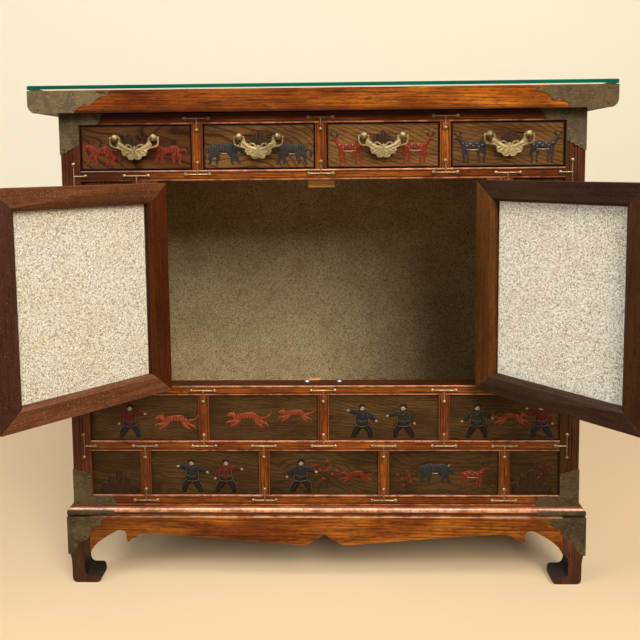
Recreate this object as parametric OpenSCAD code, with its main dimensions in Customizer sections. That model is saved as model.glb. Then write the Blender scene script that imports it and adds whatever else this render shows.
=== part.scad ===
// Low scholar's cabinet: a post and rail case with a drawer row, a pair of hinged doors,
// two rows of fixed panels, a scrolled stand, sheet brass mounts and a glass top.
// Millimetres, +Z up, the front faces -Y. The origin is on the floor under the middle of the case.

/* [Case] */
// Width of the case across its posts
body_w = 900; // [760:10:1100]
// Depth of the case from the front posts to the rear posts
body_d = 420; // [340:10:520]
// Width of a post
post_w = 34; // [26:1:44]
// Depth of a post and of the front rails
frame_d = 30; // [24:1:40]
// Height of the top rail
top_rail_h = 20; // [14:1:30]
// Height of the rail under the drawers
drawer_rail_h = 19; // [14:1:30]
// Height of the rail under the doors
sill_rail_h = 18; // [14:1:30]
// Height of the rail between the panel rows
middle_rail_h = 20; // [14:1:30]
// Height of the bottom rail
bottom_rail_h = 20; // [14:1:30]
// Width of the muntins and door stiles
muntin_w = 19; // [12:1:28]
// Thickness of the rails of the sides and the back
side_rail_t = 24; // [20:1:30]
// Radius of the bead along each front edge
bead_r = 2; // [1:0.25:3]
// How far the field between the beads is sunk
field_sink = 0.8; // [0.4:0.1:1.2]

/* [Rows] */
// Height of the drawer row
drawer_row_h = 78; // [60:1:110]
// Height of the door opening
door_row_h = 362; // [260:2:480]
// Height of the upper panel row
upper_row_h = 82; // [50:1:120]
// Height of the lower panel row
lower_row_h = 80; // [50:1:120]
// Number of drawers and of upper panels
bays = 4; // [3:1:5]

/* [Panels] */
// Thickness of every fixed panel
panel_t = 8; // [6:0.5:10]
// How far a panel sits behind the face of its frame
panel_sink = 6; // [4:0.5:9]
// How deep a panel sits in its groove
groove_d = 5; // [3:0.5:7]
// Play between a panel and its groove
groove_play = 0.3; // [0.1:0.05:0.5]
// Length of a rail tenon
tenon_l = 18; // [10:1:22]
// Thickness of a rail tenon
tenon_t = 9; // [6:0.5:10]
// Thickness of the paper lining
paper_t = 0.6; // [0.4:0.1:1]

/* [Top] */
// Thickness of the top board
board_t = 38; // [24:1:50]
// How far the top board reaches past the case at each end
board_out_x = 45; // [20:1:70]
// How far the top board reaches past the case at front and back
board_out_y = 18; // [8:1:40]
// Radius of the lower corners at the ends of the board
board_r = 15; // [6:1:20]
// Thickness of the glass
glass_t = 6; // [4:1:10]
// How far the glass reaches past the board
glass_out = 2; // [0:0.5:6]
// Thickness of the clear pads under the glass
pad_t = 2; // [1:0.5:4]
// Radius of a pad
pad_r = 6; // [4:0.5:9]

/* [Stand] */
// Height of the feet up to the moulding
foot_h = 123; // [100:1:160]
// Thickness of the moulding under the case
moulding_t = 16; // [10:1:24]
// How far the moulding stands out from the case
moulding_out = 10; // [4:1:18]
// Width of the moulding's bars
moulding_w = 58; // [52:1:80]
// Width of a leg
leg_w = 40; // [32:1:52]
// Depth of a leg
leg_d = 30; // [22:1:44]
// How far a toe reaches past the inside of its leg
toe_reach = 17; // [10:1:30]
// Height of the tip of a toe
toe_h = 22; // [16:1:30]
// How far the top of a toe falls towards its outer face
toe_fall = 12; // [4:1:14]
// Thickness of the aprons
apron_t = 20; // [14:1:26]
// Depth of the front apron at the feather beside the leg
apron_thin = 26; // [18:1:30]
// Depth of the front apron at its middle lobes
apron_deep = 53; // [42:1:60]
// Depth of the side and back aprons
side_apron_h = 40; // [26:1:60]

/* [Doors] */
// Thickness of a door
leaf_t = 28; // [22:1:32]
// Width of the door frame's members
leaf_frame_w = 33; // [24:1:45]
// Width of the plain jamb between a door and its stile
jamb_w = 26.5; // [24.5:0.5:40]
// How far the hinge axis stands in front of the case
pin_out = 3.5; // [3:0.1:5]
// Gap between a door and its opening
door_gap = 2.5; // [1:0.1:4]
// Gap from a hinge axis to the jamb, and to the edge of the door
hinge_gap = 0.5; // [0.3:0.1:1.5]
// Gap between the closed doors
meeting_gap = 1.5; // [1:0.1:3]
// How far the outer face of a door's panel is sunk
leaf_sink = 6; // [4:0.5:8]
// How far the papered inner face of a door's panel is sunk
lining_sink = 15; // [6:0.5:16]
// How far a door's paper stops short of the frame on the hinge side
lining_trim = 2.5; // [0:0.5:4]
// Width of the bevel round the inner face of a door's panel
leaf_bevel = 4.5; // [2:0.5:7]
// How far the left door stands open at rest, in degrees
open_left = 135; // [0:1:160]
// How far the right door stands open at rest, in degrees
open_right = 133; // [0:1:160]

/* [Hinges] */
// Height of a hinge
hinge_h = 50; // [36:1:70]
// Distance of a hinge's middle from the end of its door
hinge_inset = 75; // [50:1:110]
// Radius of a hinge pin
pin_r = 1.5; // [1:0.1:1.8]
// Running clearance round a hinge pin
pin_play = 0.05; // [0.02:0.01:0.1]
// Thickness of a hinge plate
hinge_t = 1.2; // [0.8:0.1:1.6]
// Width of a hinge plate beside its barrel
hinge_plate_w = 20; // [14:1:24]

/* [Drawers] */
// Thickness of a drawer front
front_t = 18; // [12:1:24]
// How far a drawer front sits behind the face of the case
front_sink = 3; // [1:0.5:6]
// Gap round a drawer front
front_gap = 2; // [1:0.25:3]
// Thickness of a drawer's sides and back
drawer_side_t = 9; // [6:0.5:12]
// Thickness of a drawer's bottom
drawer_bottom_t = 4; // [3:0.5:6]
// Free space behind a closed drawer
drawer_back_gap = 30; // [10:1:80]
// Running clearance of a drawer
drawer_play = 0.5; // [0.3:0.1:1]
// Thickness of the deck that the drawers run on
deck_t = 9; // [6:0.5:12]

/* [Pulls] */
// Half the distance between the posts of a pull
pull_x = 33; // [26:0.5:40]
// Height of the posts above the middle of the drawer front
pull_up = 16.5; // [6:0.5:18]
// Radius of the ball on a post
ball_r = 6.25; // [4.5:0.25:6.5]
// Distance of the ball's middle from the drawer front
pull_out = 10; // [9:0.5:14]
// Thickness of the bat-shaped pull
pull_t = 2.4; // [1.6:0.1:3]
// Radius of the pull's pin
pull_pin_r = 1.1; // [0.8:0.05:1.15]

/* [Brass] */
// Thickness of the sheet brass mounts
sheet_t = 0.8; // [0.5:0.1:1.2]
// Thickness of a T-shaped strap
strap_t = 1.2; // [0.8:0.1:2]
// Width of a strap's bar
strap_w = 3.6; // [2:0.2:5]
// Length of a strap's long bar
strap_bar = 42; // [26:1:54]
// Length of a strap's stem
strap_stem = 20; // [14:1:28]
// Radius of the knob on a door
knob_r = 9; // [6:0.5:12]

/* [Hidden] */
CASE_NODES = [
  "glass_top", "glass_pads", "top_board", "top_board_plates",
  "front_posts", "rear_posts", "top_rail", "drawer_rail", "sill_rail", "middle_rail", "bottom_rail",
  "drawer_muntins", "door_stiles", "panel_muntins", "upper_panels", "lower_panels", "flank_panels",
  "side_rails", "side_panels", "back_rails", "back_panels", "bottom_board", "drawer_deck",
  "paper_lining", "base_moulding", "base_aprons", "feet",
  "body_corner_plates", "foot_plates", "rail_straps",
  "jamb_hinges", "door_stop_blocks", "ball_catches",
  "door_left_frame", "door_left_panel", "door_left_lining", "door_left_hinges", "door_left_knob",
  "door_right_frame", "door_right_panel", "door_right_lining", "door_right_hinges", "door_right_knob"
];
DRAWER_PARTS = ["front", "box", "pull_posts", "pull"];
$fn = 48;

// Levels, from the floor up
moulding_z = foot_h;
bottom_z = moulding_z + moulding_t;
lower_z = bottom_z + bottom_rail_h;
middle_z = lower_z + lower_row_h;
upper_z = middle_z + middle_rail_h;
sill_z = upper_z + upper_row_h;
door_z = sill_z + sill_rail_h;
drawer_rail_z = door_z + door_row_h;
drawer_z = drawer_rail_z + drawer_rail_h;
top_rail_z = drawer_z + drawer_row_h;
board_z = top_rail_z + top_rail_h;
glass_z = board_z + board_t + pad_t;

// Plan
half_w = body_w/2;
front_y = -body_d/2;
back_y = body_d/2;
inner_x = half_w - post_w;
frame_back_y = front_y + frame_d;
rear_frame_y = back_y - frame_d;
side_in_x = half_w - side_rail_t;
pitch = (2*inner_x + muntin_w)/bays;
bay_w = pitch - muntin_w;
muntin_xs = [for (i = [1:bays-1]) -inner_x - muntin_w/2 + i*pitch];
lower_xs = [for (i = [0:bays-1]) -inner_x - muntin_w/2 + (i + 0.5)*pitch];
stile_x = lower_xs[bays-1];
bay_xs = [for (i = [0:bays-1]) -inner_x + bay_w/2 + i*pitch];
stile_in_x = stile_x - muntin_w/2;
jamb_in_x = stile_in_x - jamb_w;
pin_x = jamb_in_x - hinge_gap;
tenon_back = 6;
mortise_play = 0.2;
glue_gap = 0.07;
eps = 0.01;

WOOD_TOP = [0.55, 0.30, 0.12];
WOOD_FRAME = [0.50, 0.24, 0.12];
WOOD_POST = [0.34, 0.16, 0.10];
WOOD_PANEL = [0.28, 0.22, 0.12];
WOOD_LEAF = [0.32, 0.18, 0.11];
WOOD_FRONT = [0.40, 0.29, 0.16];
WOOD_PALE = [0.76, 0.64, 0.44];
BRASS_OLD = [0.46, 0.42, 0.28];
BRASS = [0.78, 0.70, 0.46];
PAPER = [0.87, 0.84, 0.74];

module box(x0, x1, y0, y1, z0, z1) {
  translate([x0, y0, z0]) cube([x1 - x0, y1 - y0, z1 - z0]);
}
module both_sides() {
  children();
  mirror([1, 0, 0]) children();
}

// Section of a front member: flat back, a bead at each edge and a sunk field between them
module member_section(w, d) {
  difference() {
    union() {
      translate([bead_r, 0]) square([w - 2*bead_r, d]);
      translate([0, bead_r]) square([w, d - bead_r]);
      translate([bead_r, bead_r]) circle(bead_r);
      translate([w - bead_r, bead_r]) circle(bead_r);
    }
    translate([2*bead_r, -1]) square([w - 4*bead_r, 1 + field_sink]);
  }
}
// A post also has two sunk flutes that leave a reed in the middle
module post_section() {
  flute_w = 2.4;
  reed_w = 3.2;
  difference() {
    member_section(post_w, frame_d);
    for (s = [-1, 1])
      translate([post_w/2 + s*(reed_w + flute_w)/2 - flute_w/2, -1]) square([flute_w, 2.4 + field_sink]);
  }
}
// Horizontal member, with its section upright and its length along X
module rail_bar(x0, x1, z, h) {
  translate([x1, front_y, z]) rotate([0, -90, 0]) linear_extrude(x1 - x0) member_section(h, frame_d);
}
module muntin_bar(x, w, z0, z1) {
  translate([x - w/2, front_y, z0]) linear_extrude(z1 - z0) member_section(w, frame_d);
}

// Tenons: the rails' into the posts, with their mortises grown by the play
module front_tenons(grow) {
  both_sides()
    for (r = [[top_rail_z, top_rail_h], [drawer_rail_z, drawer_rail_h], [sill_z, sill_rail_h],
              [middle_z, middle_rail_h], [bottom_z, bottom_rail_h]])
      tenon_at(r[0], r[1], grow);
}
module tenon_at(z, h, grow) {
  y0 = frame_back_y - tenon_back - tenon_t;
  box(inner_x - (grow > 0 ? 1 : eps), inner_x + tenon_l + grow,
      y0 - grow, y0 + tenon_t + grow, z + 3 - grow, z + h - 3 + grow);
}
module rail_with_tenons(z, h) {
  color(WOOD_FRAME) difference() {
    union() {
      rail_bar(-inner_x, inner_x, z, h);
      both_sides() tenon_at(z, h, 0);
    }
    panel_set(groove_play);
  }
}

// Fixed panels, each reaching into the grooves round its opening
module front_panel(x0, x1, z0, z1, grow) {
  box(x0 - groove_d - grow, x1 + groove_d + grow,
      front_y + panel_sink - (grow > 0 ? grow : 0), front_y + panel_sink + panel_t + grow,
      z0 - groove_d - grow, z1 + groove_d + grow);
}
module upper_panel_set(grow) {
  for (x = bay_xs) front_panel(x - bay_w/2, x + bay_w/2, upper_z, sill_z, grow);
}
module lower_panel_set(grow) {
  edges = concat([-inner_x - muntin_w/2], lower_xs, [inner_x + muntin_w/2]);
  for (i = [0:bays])
    front_panel(edges[i] + muntin_w/2, edges[i+1] - muntin_w/2, lower_z, middle_z, grow);
}
module flank_panel_set(grow) {
  both_sides() front_panel(stile_x + muntin_w/2, inner_x, door_z, drawer_rail_z, grow);
}
side_bays = [[lower_z, sill_z], [door_z, drawer_rail_z], [drawer_z, top_rail_z]];
module side_panel_set(grow) {
  both_sides()
    for (b = side_bays)
      box(half_w - panel_sink - panel_t - grow, half_w - panel_sink + grow,
          frame_back_y - groove_d - grow, rear_frame_y + groove_d + grow,
          b[0] - groove_d - grow, b[1] + groove_d + grow);
}
back_bays = [[lower_z, drawer_rail_z], [drawer_z, top_rail_z]];
module back_panel_set(grow) {
  for (b = back_bays)
    box(-inner_x - groove_d - grow, inner_x + groove_d + grow,
        back_y - panel_sink - panel_t - grow, back_y - panel_sink + grow,
        b[0] - groove_d - grow, b[1] + groove_d + grow);
}
module panel_set(grow) {
  upper_panel_set(grow);
  lower_panel_set(grow);
  flank_panel_set(grow);
}

// Top
module glass_top() {
  r = 6;
  color([0.55, 0.75, 0.66, 0.5]) translate([0, 0, glass_z]) linear_extrude(glass_t)
    rounded_plan(half_w + board_out_x + glass_out, body_d/2 + board_out_y + glass_out, r);
}
module rounded_plan(hx, hy, r) {
  square([2*(hx - r), 2*hy], center = true);
  square([2*hx, 2*(hy - r)], center = true);
  for (sx = [-1, 1], sy = [-1, 1]) translate([sx*(hx - r), sy*(hy - r)]) circle(r);
}
module glass_pads() {
  inset = 30;
  hx = half_w + board_out_x - inset;
  hy = body_d/2 + board_out_y - inset;
  color([0.9, 0.9, 0.88, 0.6])
    for (sx = [-1, 0, 1], sy = [-1, 1])
      translate([sx*hx, sy*hy, board_z + board_t]) cylinder(h = pad_t, r = pad_r);
}
module top_board() {
  hx = half_w + board_out_x;
  color(WOOD_TOP) translate([0, body_d/2 + board_out_y, board_z]) rotate([90, 0, 0])
    linear_extrude(body_d + 2*board_out_y) {
      translate([-hx, board_r]) square([2*hx, board_t - board_r]);
      translate([-hx + board_r, 0]) square([2*(hx - board_r), board_t]);
      for (s = [-1, 1]) translate([s*(hx - board_r), board_r]) circle(board_r);
    }
}

// Sheet brass. Each outline runs from the outer corner inwards along +X and down along -Y
function bend(a, b, c, n = 6) =
  [for (i = [1:n]) let (t = i/n) (1-t)*(1-t)*a + 2*t*(1-t)*b + t*t*c];
function scallops(p, q, n, lift) = [for (k = [0:n-1]) each
  let (a = p + (q - p)*k/n, c = p + (q - p)*(k + 1)/n, d = (c - a)/norm(c - a), m = (a + c)/2)
  bend(a, m + lift*[d[1], -d[0]], c, 5)];
// Board end plate: long at the top with a curled tongue, and short below its notch. It is drawn
// for a board as thick as plate_drawn_h and its heights follow the real one
plate_drawn_h = 38;
board_plate_l = 113;
board_plate_low = 78;
board_plate_drawn = concat(
  [[-sheet_t, 0], [board_plate_l, 0]],
  bend([board_plate_l, 0], [board_plate_l + 7, -5], [board_plate_l + 12, -7], 4),
  bend([board_plate_l + 12, -7], [board_plate_l + 20, -8], [board_plate_l + 19, -2], 4),
  [[board_plate_l + 25, -2]],
  bend([board_plate_l + 25, -2], [board_plate_l + 25, -11], [board_plate_l + 14, -11], 4),
  bend([board_plate_l + 14, -11], [board_plate_l + 4, -14], [board_plate_l - 1, -20], 4),
  bend([board_plate_l - 1, -20], [board_plate_l - 7, -28], [board_plate_l - 12, -27], 4),
  bend([board_plate_l - 12, -27], [board_plate_l - 15, -18], [board_plate_l - 20, -26], 4),
  bend([board_plate_l - 20, -26], [board_plate_low + 4, -28], [board_plate_low, -plate_drawn_h], 4),
  [[-sheet_t, -plate_drawn_h]]);
board_plate = [for (p = board_plate_drawn) [p[0], p[1]*board_t/plate_drawn_h]];
module top_board_plates() {
  hx = half_w + board_out_x;
  end_l = 70;
  color(BRASS_OLD) both_sides() intersection() {
    union() {
      translate([-hx, front_y - board_out_y, board_z + board_t]) rotate([90, 0, 0])
        linear_extrude(sheet_t) polygon(board_plate);
      translate([-hx - sheet_t, front_y - board_out_y - sheet_t, board_z])
        cube([sheet_t, end_l, board_t]);
    }
    translate([0, front_y - board_out_y + end_l + 1, board_z]) rotate([90, 0, 0])
      linear_extrude(end_l + 2) {
        translate([-hx - sheet_t, board_r]) square([2*hx, board_t]);
        translate([-hx + board_r, 0]) square([hx, board_t]);
        translate([-hx + board_r, board_r]) circle(board_r + sheet_t);
      }
  }
}

// Posts and rails
module front_posts() {
  color(WOOD_POST) difference() {
    both_sides() translate([-half_w, front_y, bottom_z]) linear_extrude(board_z - bottom_z) post_section();
    front_tenons(mortise_play);
    panel_set(groove_play);
    side_panel_set(groove_play);
  }
}
module rear_posts() {
  color(WOOD_POST) difference() {
    both_sides() box(inner_x, half_w, rear_frame_y, back_y, bottom_z, board_z);
    side_panel_set(groove_play);
    back_panel_set(groove_play);
  }
}
module top_rail() rail_with_tenons(top_rail_z, top_rail_h);
module drawer_rail() rail_with_tenons(drawer_rail_z, drawer_rail_h);
module sill_rail() {
  color(WOOD_FRAME) difference() {
    rail_with_tenons(sill_z, sill_rail_h);
    for (s = [-1, 1])
      translate([s*catch_x, catch_y, door_z - catch_l - 1]) cylinder(h = catch_l + 2, r = catch_r + 0.1);
  }
}
module middle_rail() rail_with_tenons(middle_z, middle_rail_h);
module bottom_rail() rail_with_tenons(bottom_z, bottom_rail_h);
module drawer_muntins() {
  color(WOOD_FRAME) for (x = muntin_xs) muntin_bar(x, muntin_w, drawer_z, top_rail_z);
}
module panel_muntins() {
  color(WOOD_FRAME) difference() {
    union() {
      for (x = muntin_xs) muntin_bar(x, muntin_w, upper_z, sill_z);
      for (x = lower_xs) muntin_bar(x, muntin_w, lower_z, middle_z);
    }
    panel_set(groove_play);
  }
}
// The stiles that carry the straps, with a plain jamb beside each for the hinges
module door_stiles() {
  color(WOOD_FRAME) difference() {
    both_sides() {
      muntin_bar(-stile_x, muntin_w, door_z, drawer_rail_z);
      box(-stile_in_x + glue_gap, -jamb_in_x, front_y, frame_back_y, door_z, drawer_rail_z);
    }
    flank_panel_set(groove_play);
  }
}
module upper_panels() { color(WOOD_PANEL) upper_panel_set(0); }
module lower_panels() { color(WOOD_PANEL) lower_panel_set(0); }
module flank_panels() { color(WOOD_PANEL) flank_panel_set(0); }
module side_rails() {
  color(WOOD_POST) difference() {
    both_sides()
      for (r = [[bottom_z, bottom_rail_h], [sill_z, sill_rail_h],
                [drawer_rail_z, drawer_rail_h], [top_rail_z, top_rail_h]])
        box(side_in_x, half_w, frame_back_y, rear_frame_y, r[0], r[0] + r[1]);
    side_panel_set(groove_play);
  }
}
module side_panels() { color(WOOD_PANEL) side_panel_set(0); }
module back_rails() {
  color(WOOD_POST) difference() {
    for (r = [[bottom_z, bottom_rail_h], [drawer_rail_z, drawer_rail_h], [top_rail_z, top_rail_h]])
      box(-inner_x, inner_x, back_y - side_rail_t, back_y, r[0], r[0] + r[1]);
    back_panel_set(groove_play);
  }
}
module back_panels() { color(WOOD_PANEL) back_panel_set(0); }

// Boards inside
floor_t = 12;
module bottom_board() {
  color(WOOD_PALE) box(-side_in_x, side_in_x, frame_back_y, rear_frame_y, bottom_z, bottom_z + floor_t);
}
guide_h = 15;
guide_w = muntin_w + 2*(front_gap + drawer_play);
kicker_w = muntin_w + 30;
drawer_back_y = rear_frame_y - drawer_back_gap;
module drawer_deck() {
  color(WOOD_PALE) {
    box(-side_in_x, side_in_x, frame_back_y, rear_frame_y, drawer_z - deck_t, drawer_z);
    for (x = muntin_xs) {
      box(x - guide_w/2, x + guide_w/2, frame_back_y, drawer_back_y,
          drawer_z + glue_gap, drawer_z + guide_h);
      box(x - kicker_w/2, x + kicker_w/2, frame_back_y, rear_frame_y,
          top_rail_z - front_gap + drawer_play, board_z);
    }
    both_sides()
      box(inner_x - front_gap - drawer_play, side_in_x, frame_back_y, drawer_back_y,
          drawer_z + glue_gap, drawer_z + guide_h);
  }
}
module paper_lining() {
  panel_in_y = back_y - panel_sink - panel_t;
  panel_in_x = half_w - panel_sink - panel_t;
  color(PAPER) {
    box(-inner_x, inner_x, panel_in_y - paper_t, panel_in_y, lower_z, drawer_rail_z);
    both_sides()
      for (b = [[lower_z, sill_z], [door_z, drawer_rail_z]])
        box(panel_in_x - paper_t, panel_in_x, frame_back_y, rear_frame_y, b[0], b[1]);
    box(-side_in_x, side_in_x, frame_back_y, rear_frame_y,
        bottom_z + floor_t, bottom_z + floor_t + paper_t);
  }
}

// Stand
stand_x = half_w + moulding_out;
stand_y = body_d/2 + moulding_out;
// A board's face with mitred ends, short of the mitre by the glue line
module mitred(l, w) {
  polygon([[glue_gap, 0], [l - glue_gap, 0], [l - w - glue_gap, w], [w + glue_gap, w]]);
}
module moulding_section() {
  r = moulding_t/2;
  translate([r, 0]) square([moulding_w - r, moulding_t]);
  translate([r, r]) circle(r);
}
module moulding_bar(l) {
  intersection() {
    translate([-l/2, 0, 0]) rotate([90, 0, 90]) linear_extrude(l) moulding_section();
    translate([-l/2, 0, 0]) linear_extrude(moulding_t) mitred(l, moulding_w);
  }
}
module base_moulding() {
  color(WOOD_FRAME) for (a = [0, 180]) rotate(a) {
    translate([0, -stand_y, moulding_z]) moulding_bar(2*stand_x);
    translate([stand_x, 0, moulding_z]) rotate(90) moulding_bar(2*stand_y);
  }
}
// Half of the front apron's lower edge, from the middle outwards: a raised point, a long rise
// to a hooked lobe, and the open curve beside the leg. Y counts down from the moulding
apron_half = stand_x - leg_w;
lobe_x = apron_half - 70;
hook_deep = apron_thin + 21;
apron_edge = concat(
  [[0, -(apron_thin + 6)]],
  bend([0, -(apron_thin + 6)], [9, -(apron_thin + 12)], [20, -(apron_deep - 9)], 4),
  bend([20, -(apron_deep - 9)], [27, -(apron_deep - 4)], [34, -apron_deep], 3),
  bend([34, -apron_deep], [lobe_x/2, -(apron_thin + 14)], [lobe_x - 40, -(apron_thin + 5)], 8),
  bend([lobe_x - 40, -(apron_thin + 5)], [lobe_x - 18, -(apron_thin + 6)],
       [lobe_x - 12, -(apron_thin + 13)], 4),
  bend([lobe_x - 12, -(apron_thin + 13)], [lobe_x - 4, -(apron_thin + 14)], [lobe_x, -hook_deep], 4),
  bend([lobe_x, -hook_deep], [lobe_x + 7, -hook_deep], [lobe_x + 5, -(apron_thin + 6)], 4),
  bend([lobe_x + 5, -(apron_thin + 6)], [lobe_x + 8, -apron_thin + 3], [lobe_x + 20, -apron_thin], 4),
  bend([lobe_x + 20, -apron_thin], [apron_half - 6, -(apron_thin + 22)],
       [apron_half, -(apron_thin + 40)], 8));
module base_aprons() {
  far_half = body_d/2 + moulding_out - leg_d;
  color(WOOD_FRAME) {
    translate([0, -stand_y + apron_t, foot_h]) rotate([90, 0, 0]) linear_extrude(apron_t)
      polygon(concat([for (p = apron_edge) p], [[apron_half, 0], [-apron_half, 0]],
                     [for (i = [len(apron_edge) - 1:-1:1]) [-apron_edge[i][0], apron_edge[i][1]]]));
    box(-apron_half, apron_half, stand_y - apron_t, stand_y, foot_h - side_apron_h, foot_h);
    both_sides()
      box(stand_x - apron_t, stand_x, -far_half, far_half, foot_h - side_apron_h, foot_h);
  }
}
// A leg seen from the front: a straight outer edge, a narrow waist and a toe that curls inwards
toe_x = leg_w + toe_reach;
waist_x = leg_w - 11.5;
heel_x = 5.5;
foot_outline = concat(
  [[0, foot_h], [0, toe_h + 40]],
  bend([0, toe_h + 40], [heel_x, toe_h + 24], [heel_x, toe_h + 12], 3),
  [[heel_x, 12]],
  bend([heel_x, 12], [heel_x, 0], [heel_x + 9, 0], 5),
  [[toe_x - 9, 0]],
  bend([toe_x - 9, 0], [toe_x, 0], [toe_x, 10], 5),
  bend([toe_x, 10], [toe_x, toe_h], [toe_x - 5, toe_h], 3),
  [[toe_x - 17, toe_h]],
  bend([toe_x - 17, toe_h], [waist_x + 1, toe_h], [waist_x, toe_h + 12], 6),
  bend([waist_x, toe_h + 12], [waist_x - 1, toe_h + 28], [leg_w, toe_h + 35], 6),
  [[leg_w, foot_h]]);
toe_hollow = concat(
  [[toe_x + 5, toe_h + 18], [toe_x + 5, toe_h], [toe_x - 17, toe_h]],
  bend([toe_x - 17, toe_h], [waist_x + 1, toe_h], [waist_x, toe_h + 12], 6),
  [[waist_x, toe_h + 18]]);
module front_left_foot() {
  fall = atan(toe_fall/leg_d);
  difference() {
    translate([0, leg_d, 0]) rotate([90, 0, 0]) linear_extrude(leg_d) polygon(foot_outline);
    translate([0, leg_d, toe_h]) rotate([fall, 0, 0]) translate([0, leg_d, -toe_h])
      rotate([90, 0, 0]) linear_extrude(3*leg_d) polygon(toe_hollow);
  }
}
module feet() {
  color(WOOD_FRAME) both_sides() for (s = [0, 1]) mirror([0, s, 0])
    translate([-stand_x, -stand_y, 0]) front_left_foot();
}

// Corner mounts on the case, folded round the front and the side of each front post
upper_plate_drop = 70;
upper_plate_l = 78;
upper_plate = concat(
  [[-sheet_t, 0], [upper_plate_l, 0]],
  bend([upper_plate_l, 0], [upper_plate_l - 8, -6], [upper_plate_l - 6, -top_rail_h/2], 4),
  bend([upper_plate_l - 6, -top_rail_h/2], [upper_plate_l - 12, -top_rail_h + 1],
       [upper_plate_l - 18, -top_rail_h + 1], 4),
  [[post_w - 1, -top_rail_h + 1], [post_w - 1, -upper_plate_drop + 16]],
  scallops([post_w - 1, -upper_plate_drop + 16], [4, -upper_plate_drop], 4, 3),
  [[-sheet_t, -upper_plate_drop - 1]]);
lower_plate_h = 67;
lower_plate_l = 76;
lower_plate = concat(
  [[-sheet_t, 0], [lower_plate_l, 0]],
  bend([lower_plate_l, 0], [lower_plate_l + 2, 8], [lower_plate_l - 6, bottom_rail_h - 4], 5),
  [[lower_plate_l - 9, bottom_rail_h - 2], [post_w - 1, bottom_rail_h - 2],
   [post_w - 1, lower_plate_h - 9]],
  scallops([post_w - 1, lower_plate_h - 9], [2, lower_plate_h], 4, 3),
  [[-sheet_t, lower_plate_h]]);
side_plate_w = post_w - 4;
module wrapped_plate(outline, z0, z1) {
  rotate([90, 0, 0]) linear_extrude(sheet_t) polygon(outline);
  intersection() {
    rotate([90, 0, -90]) linear_extrude(sheet_t) mirror([1, 0, 0]) polygon(outline);
    translate([-sheet_t, -sheet_t, z0]) cube([sheet_t, side_plate_w, z1 - z0]);
  }
}
module body_corner_plates() {
  color(BRASS_OLD) both_sides() {
    translate([-half_w, front_y, board_z]) wrapped_plate(upper_plate, -upper_plate_drop - 1, 0);
    translate([-half_w, front_y, bottom_z]) wrapped_plate(lower_plate, 0, lower_plate_h);
  }
}
// Leg mounts under the moulding, with a strip round the end of the moulding
leg_plate = concat(
  [[-sheet_t, 0], [70, 0]],
  bend([70, 0], [66, -5], [61, -6], 3),
  bend([61, -6], [62, -15], [54, -16], 4),
  bend([54, -16], [45, -18], [36, -17], 3),
  bend([36, -17], [46, -22], [43, -29], 4),
  bend([43, -29], [38, -34], [37, -38], 3),
  bend([37, -38], [32, -44], [27, -45], 3),
  bend([27, -45], [21, -47], [18, -42], 3),
  bend([18, -42], [19, -52], [15, -59], 3),
  bend([15, -59], [10, -68], [-sheet_t, -69], 4));
strip_l = 86;
module foot_plates() {
  strip_r = moulding_t/2;
  color(BRASS_OLD) both_sides() {
    translate([-stand_x, -stand_y, foot_h - sheet_t]) wrapped_plate(leg_plate, -70, 0);
    translate([-stand_x, -stand_y, moulding_z + strip_r])
      intersection() {
        rotate([0, 90, 0]) translate([0, strip_r, -sheet_t]) difference() {
          cylinder(h = strip_l, r = strip_r + sheet_t);
          translate([0, 0, -1]) cylinder(h = strip_l + 2, r = strip_r + 0.05);
        }
        translate([0, -sheet_t, -strip_r + 1]) cube([strip_l, strip_r, 2*strip_r - 5]);
      }
  }
}

// A T-shaped strap: a bar along X, a stem down, and a rounded nail seat at each end
module strap() {
  seat_r = 2.6;
  stem = strap_stem;
  rotate([90, 0, 0]) linear_extrude(strap_t) {
    square([strap_bar, strap_w], center = true);
    translate([-strap_w/2, -stem]) square([strap_w, stem]);
    for (s = [-1, 1]) translate([s*strap_bar/2, 0]) circle(seat_r);
    translate([0, -stem]) circle(seat_r);
  }
}
module strap_at(x, z, turn) {
  translate([x, front_y, z]) rotate([0, turn, 0]) strap();
}
module rail_straps() {
  up = 180;
  shift = 1.5;
  post_inset = 12;
  color(BRASS) {
    for (x = muntin_xs) {
      strap_at(x, top_rail_z + top_rail_h/2, 0);
      strap_at(x, drawer_rail_z + drawer_rail_h/2 + shift, up);
      strap_at(x, sill_z + sill_rail_h/2, 0);
      strap_at(x, middle_z + middle_rail_h/2, up);
    }
    for (x = lower_xs) {
      strap_at(x, middle_z + middle_rail_h/2, 0);
      strap_at(x, bottom_z + bottom_rail_h/2, up);
    }
    for (s = [-1, 1]) {
      strap_at(s*stile_x, drawer_rail_z + drawer_rail_h/2, 0);
      strap_at(s*stile_x, sill_z + sill_rail_h/2, up);
      for (z = [drawer_rail_z + drawer_rail_h/2, sill_z + sill_rail_h/2, middle_z + middle_rail_h/2])
        strap_at(s*(inner_x + post_inset), z, s*90);
    }
  }
}

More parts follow.
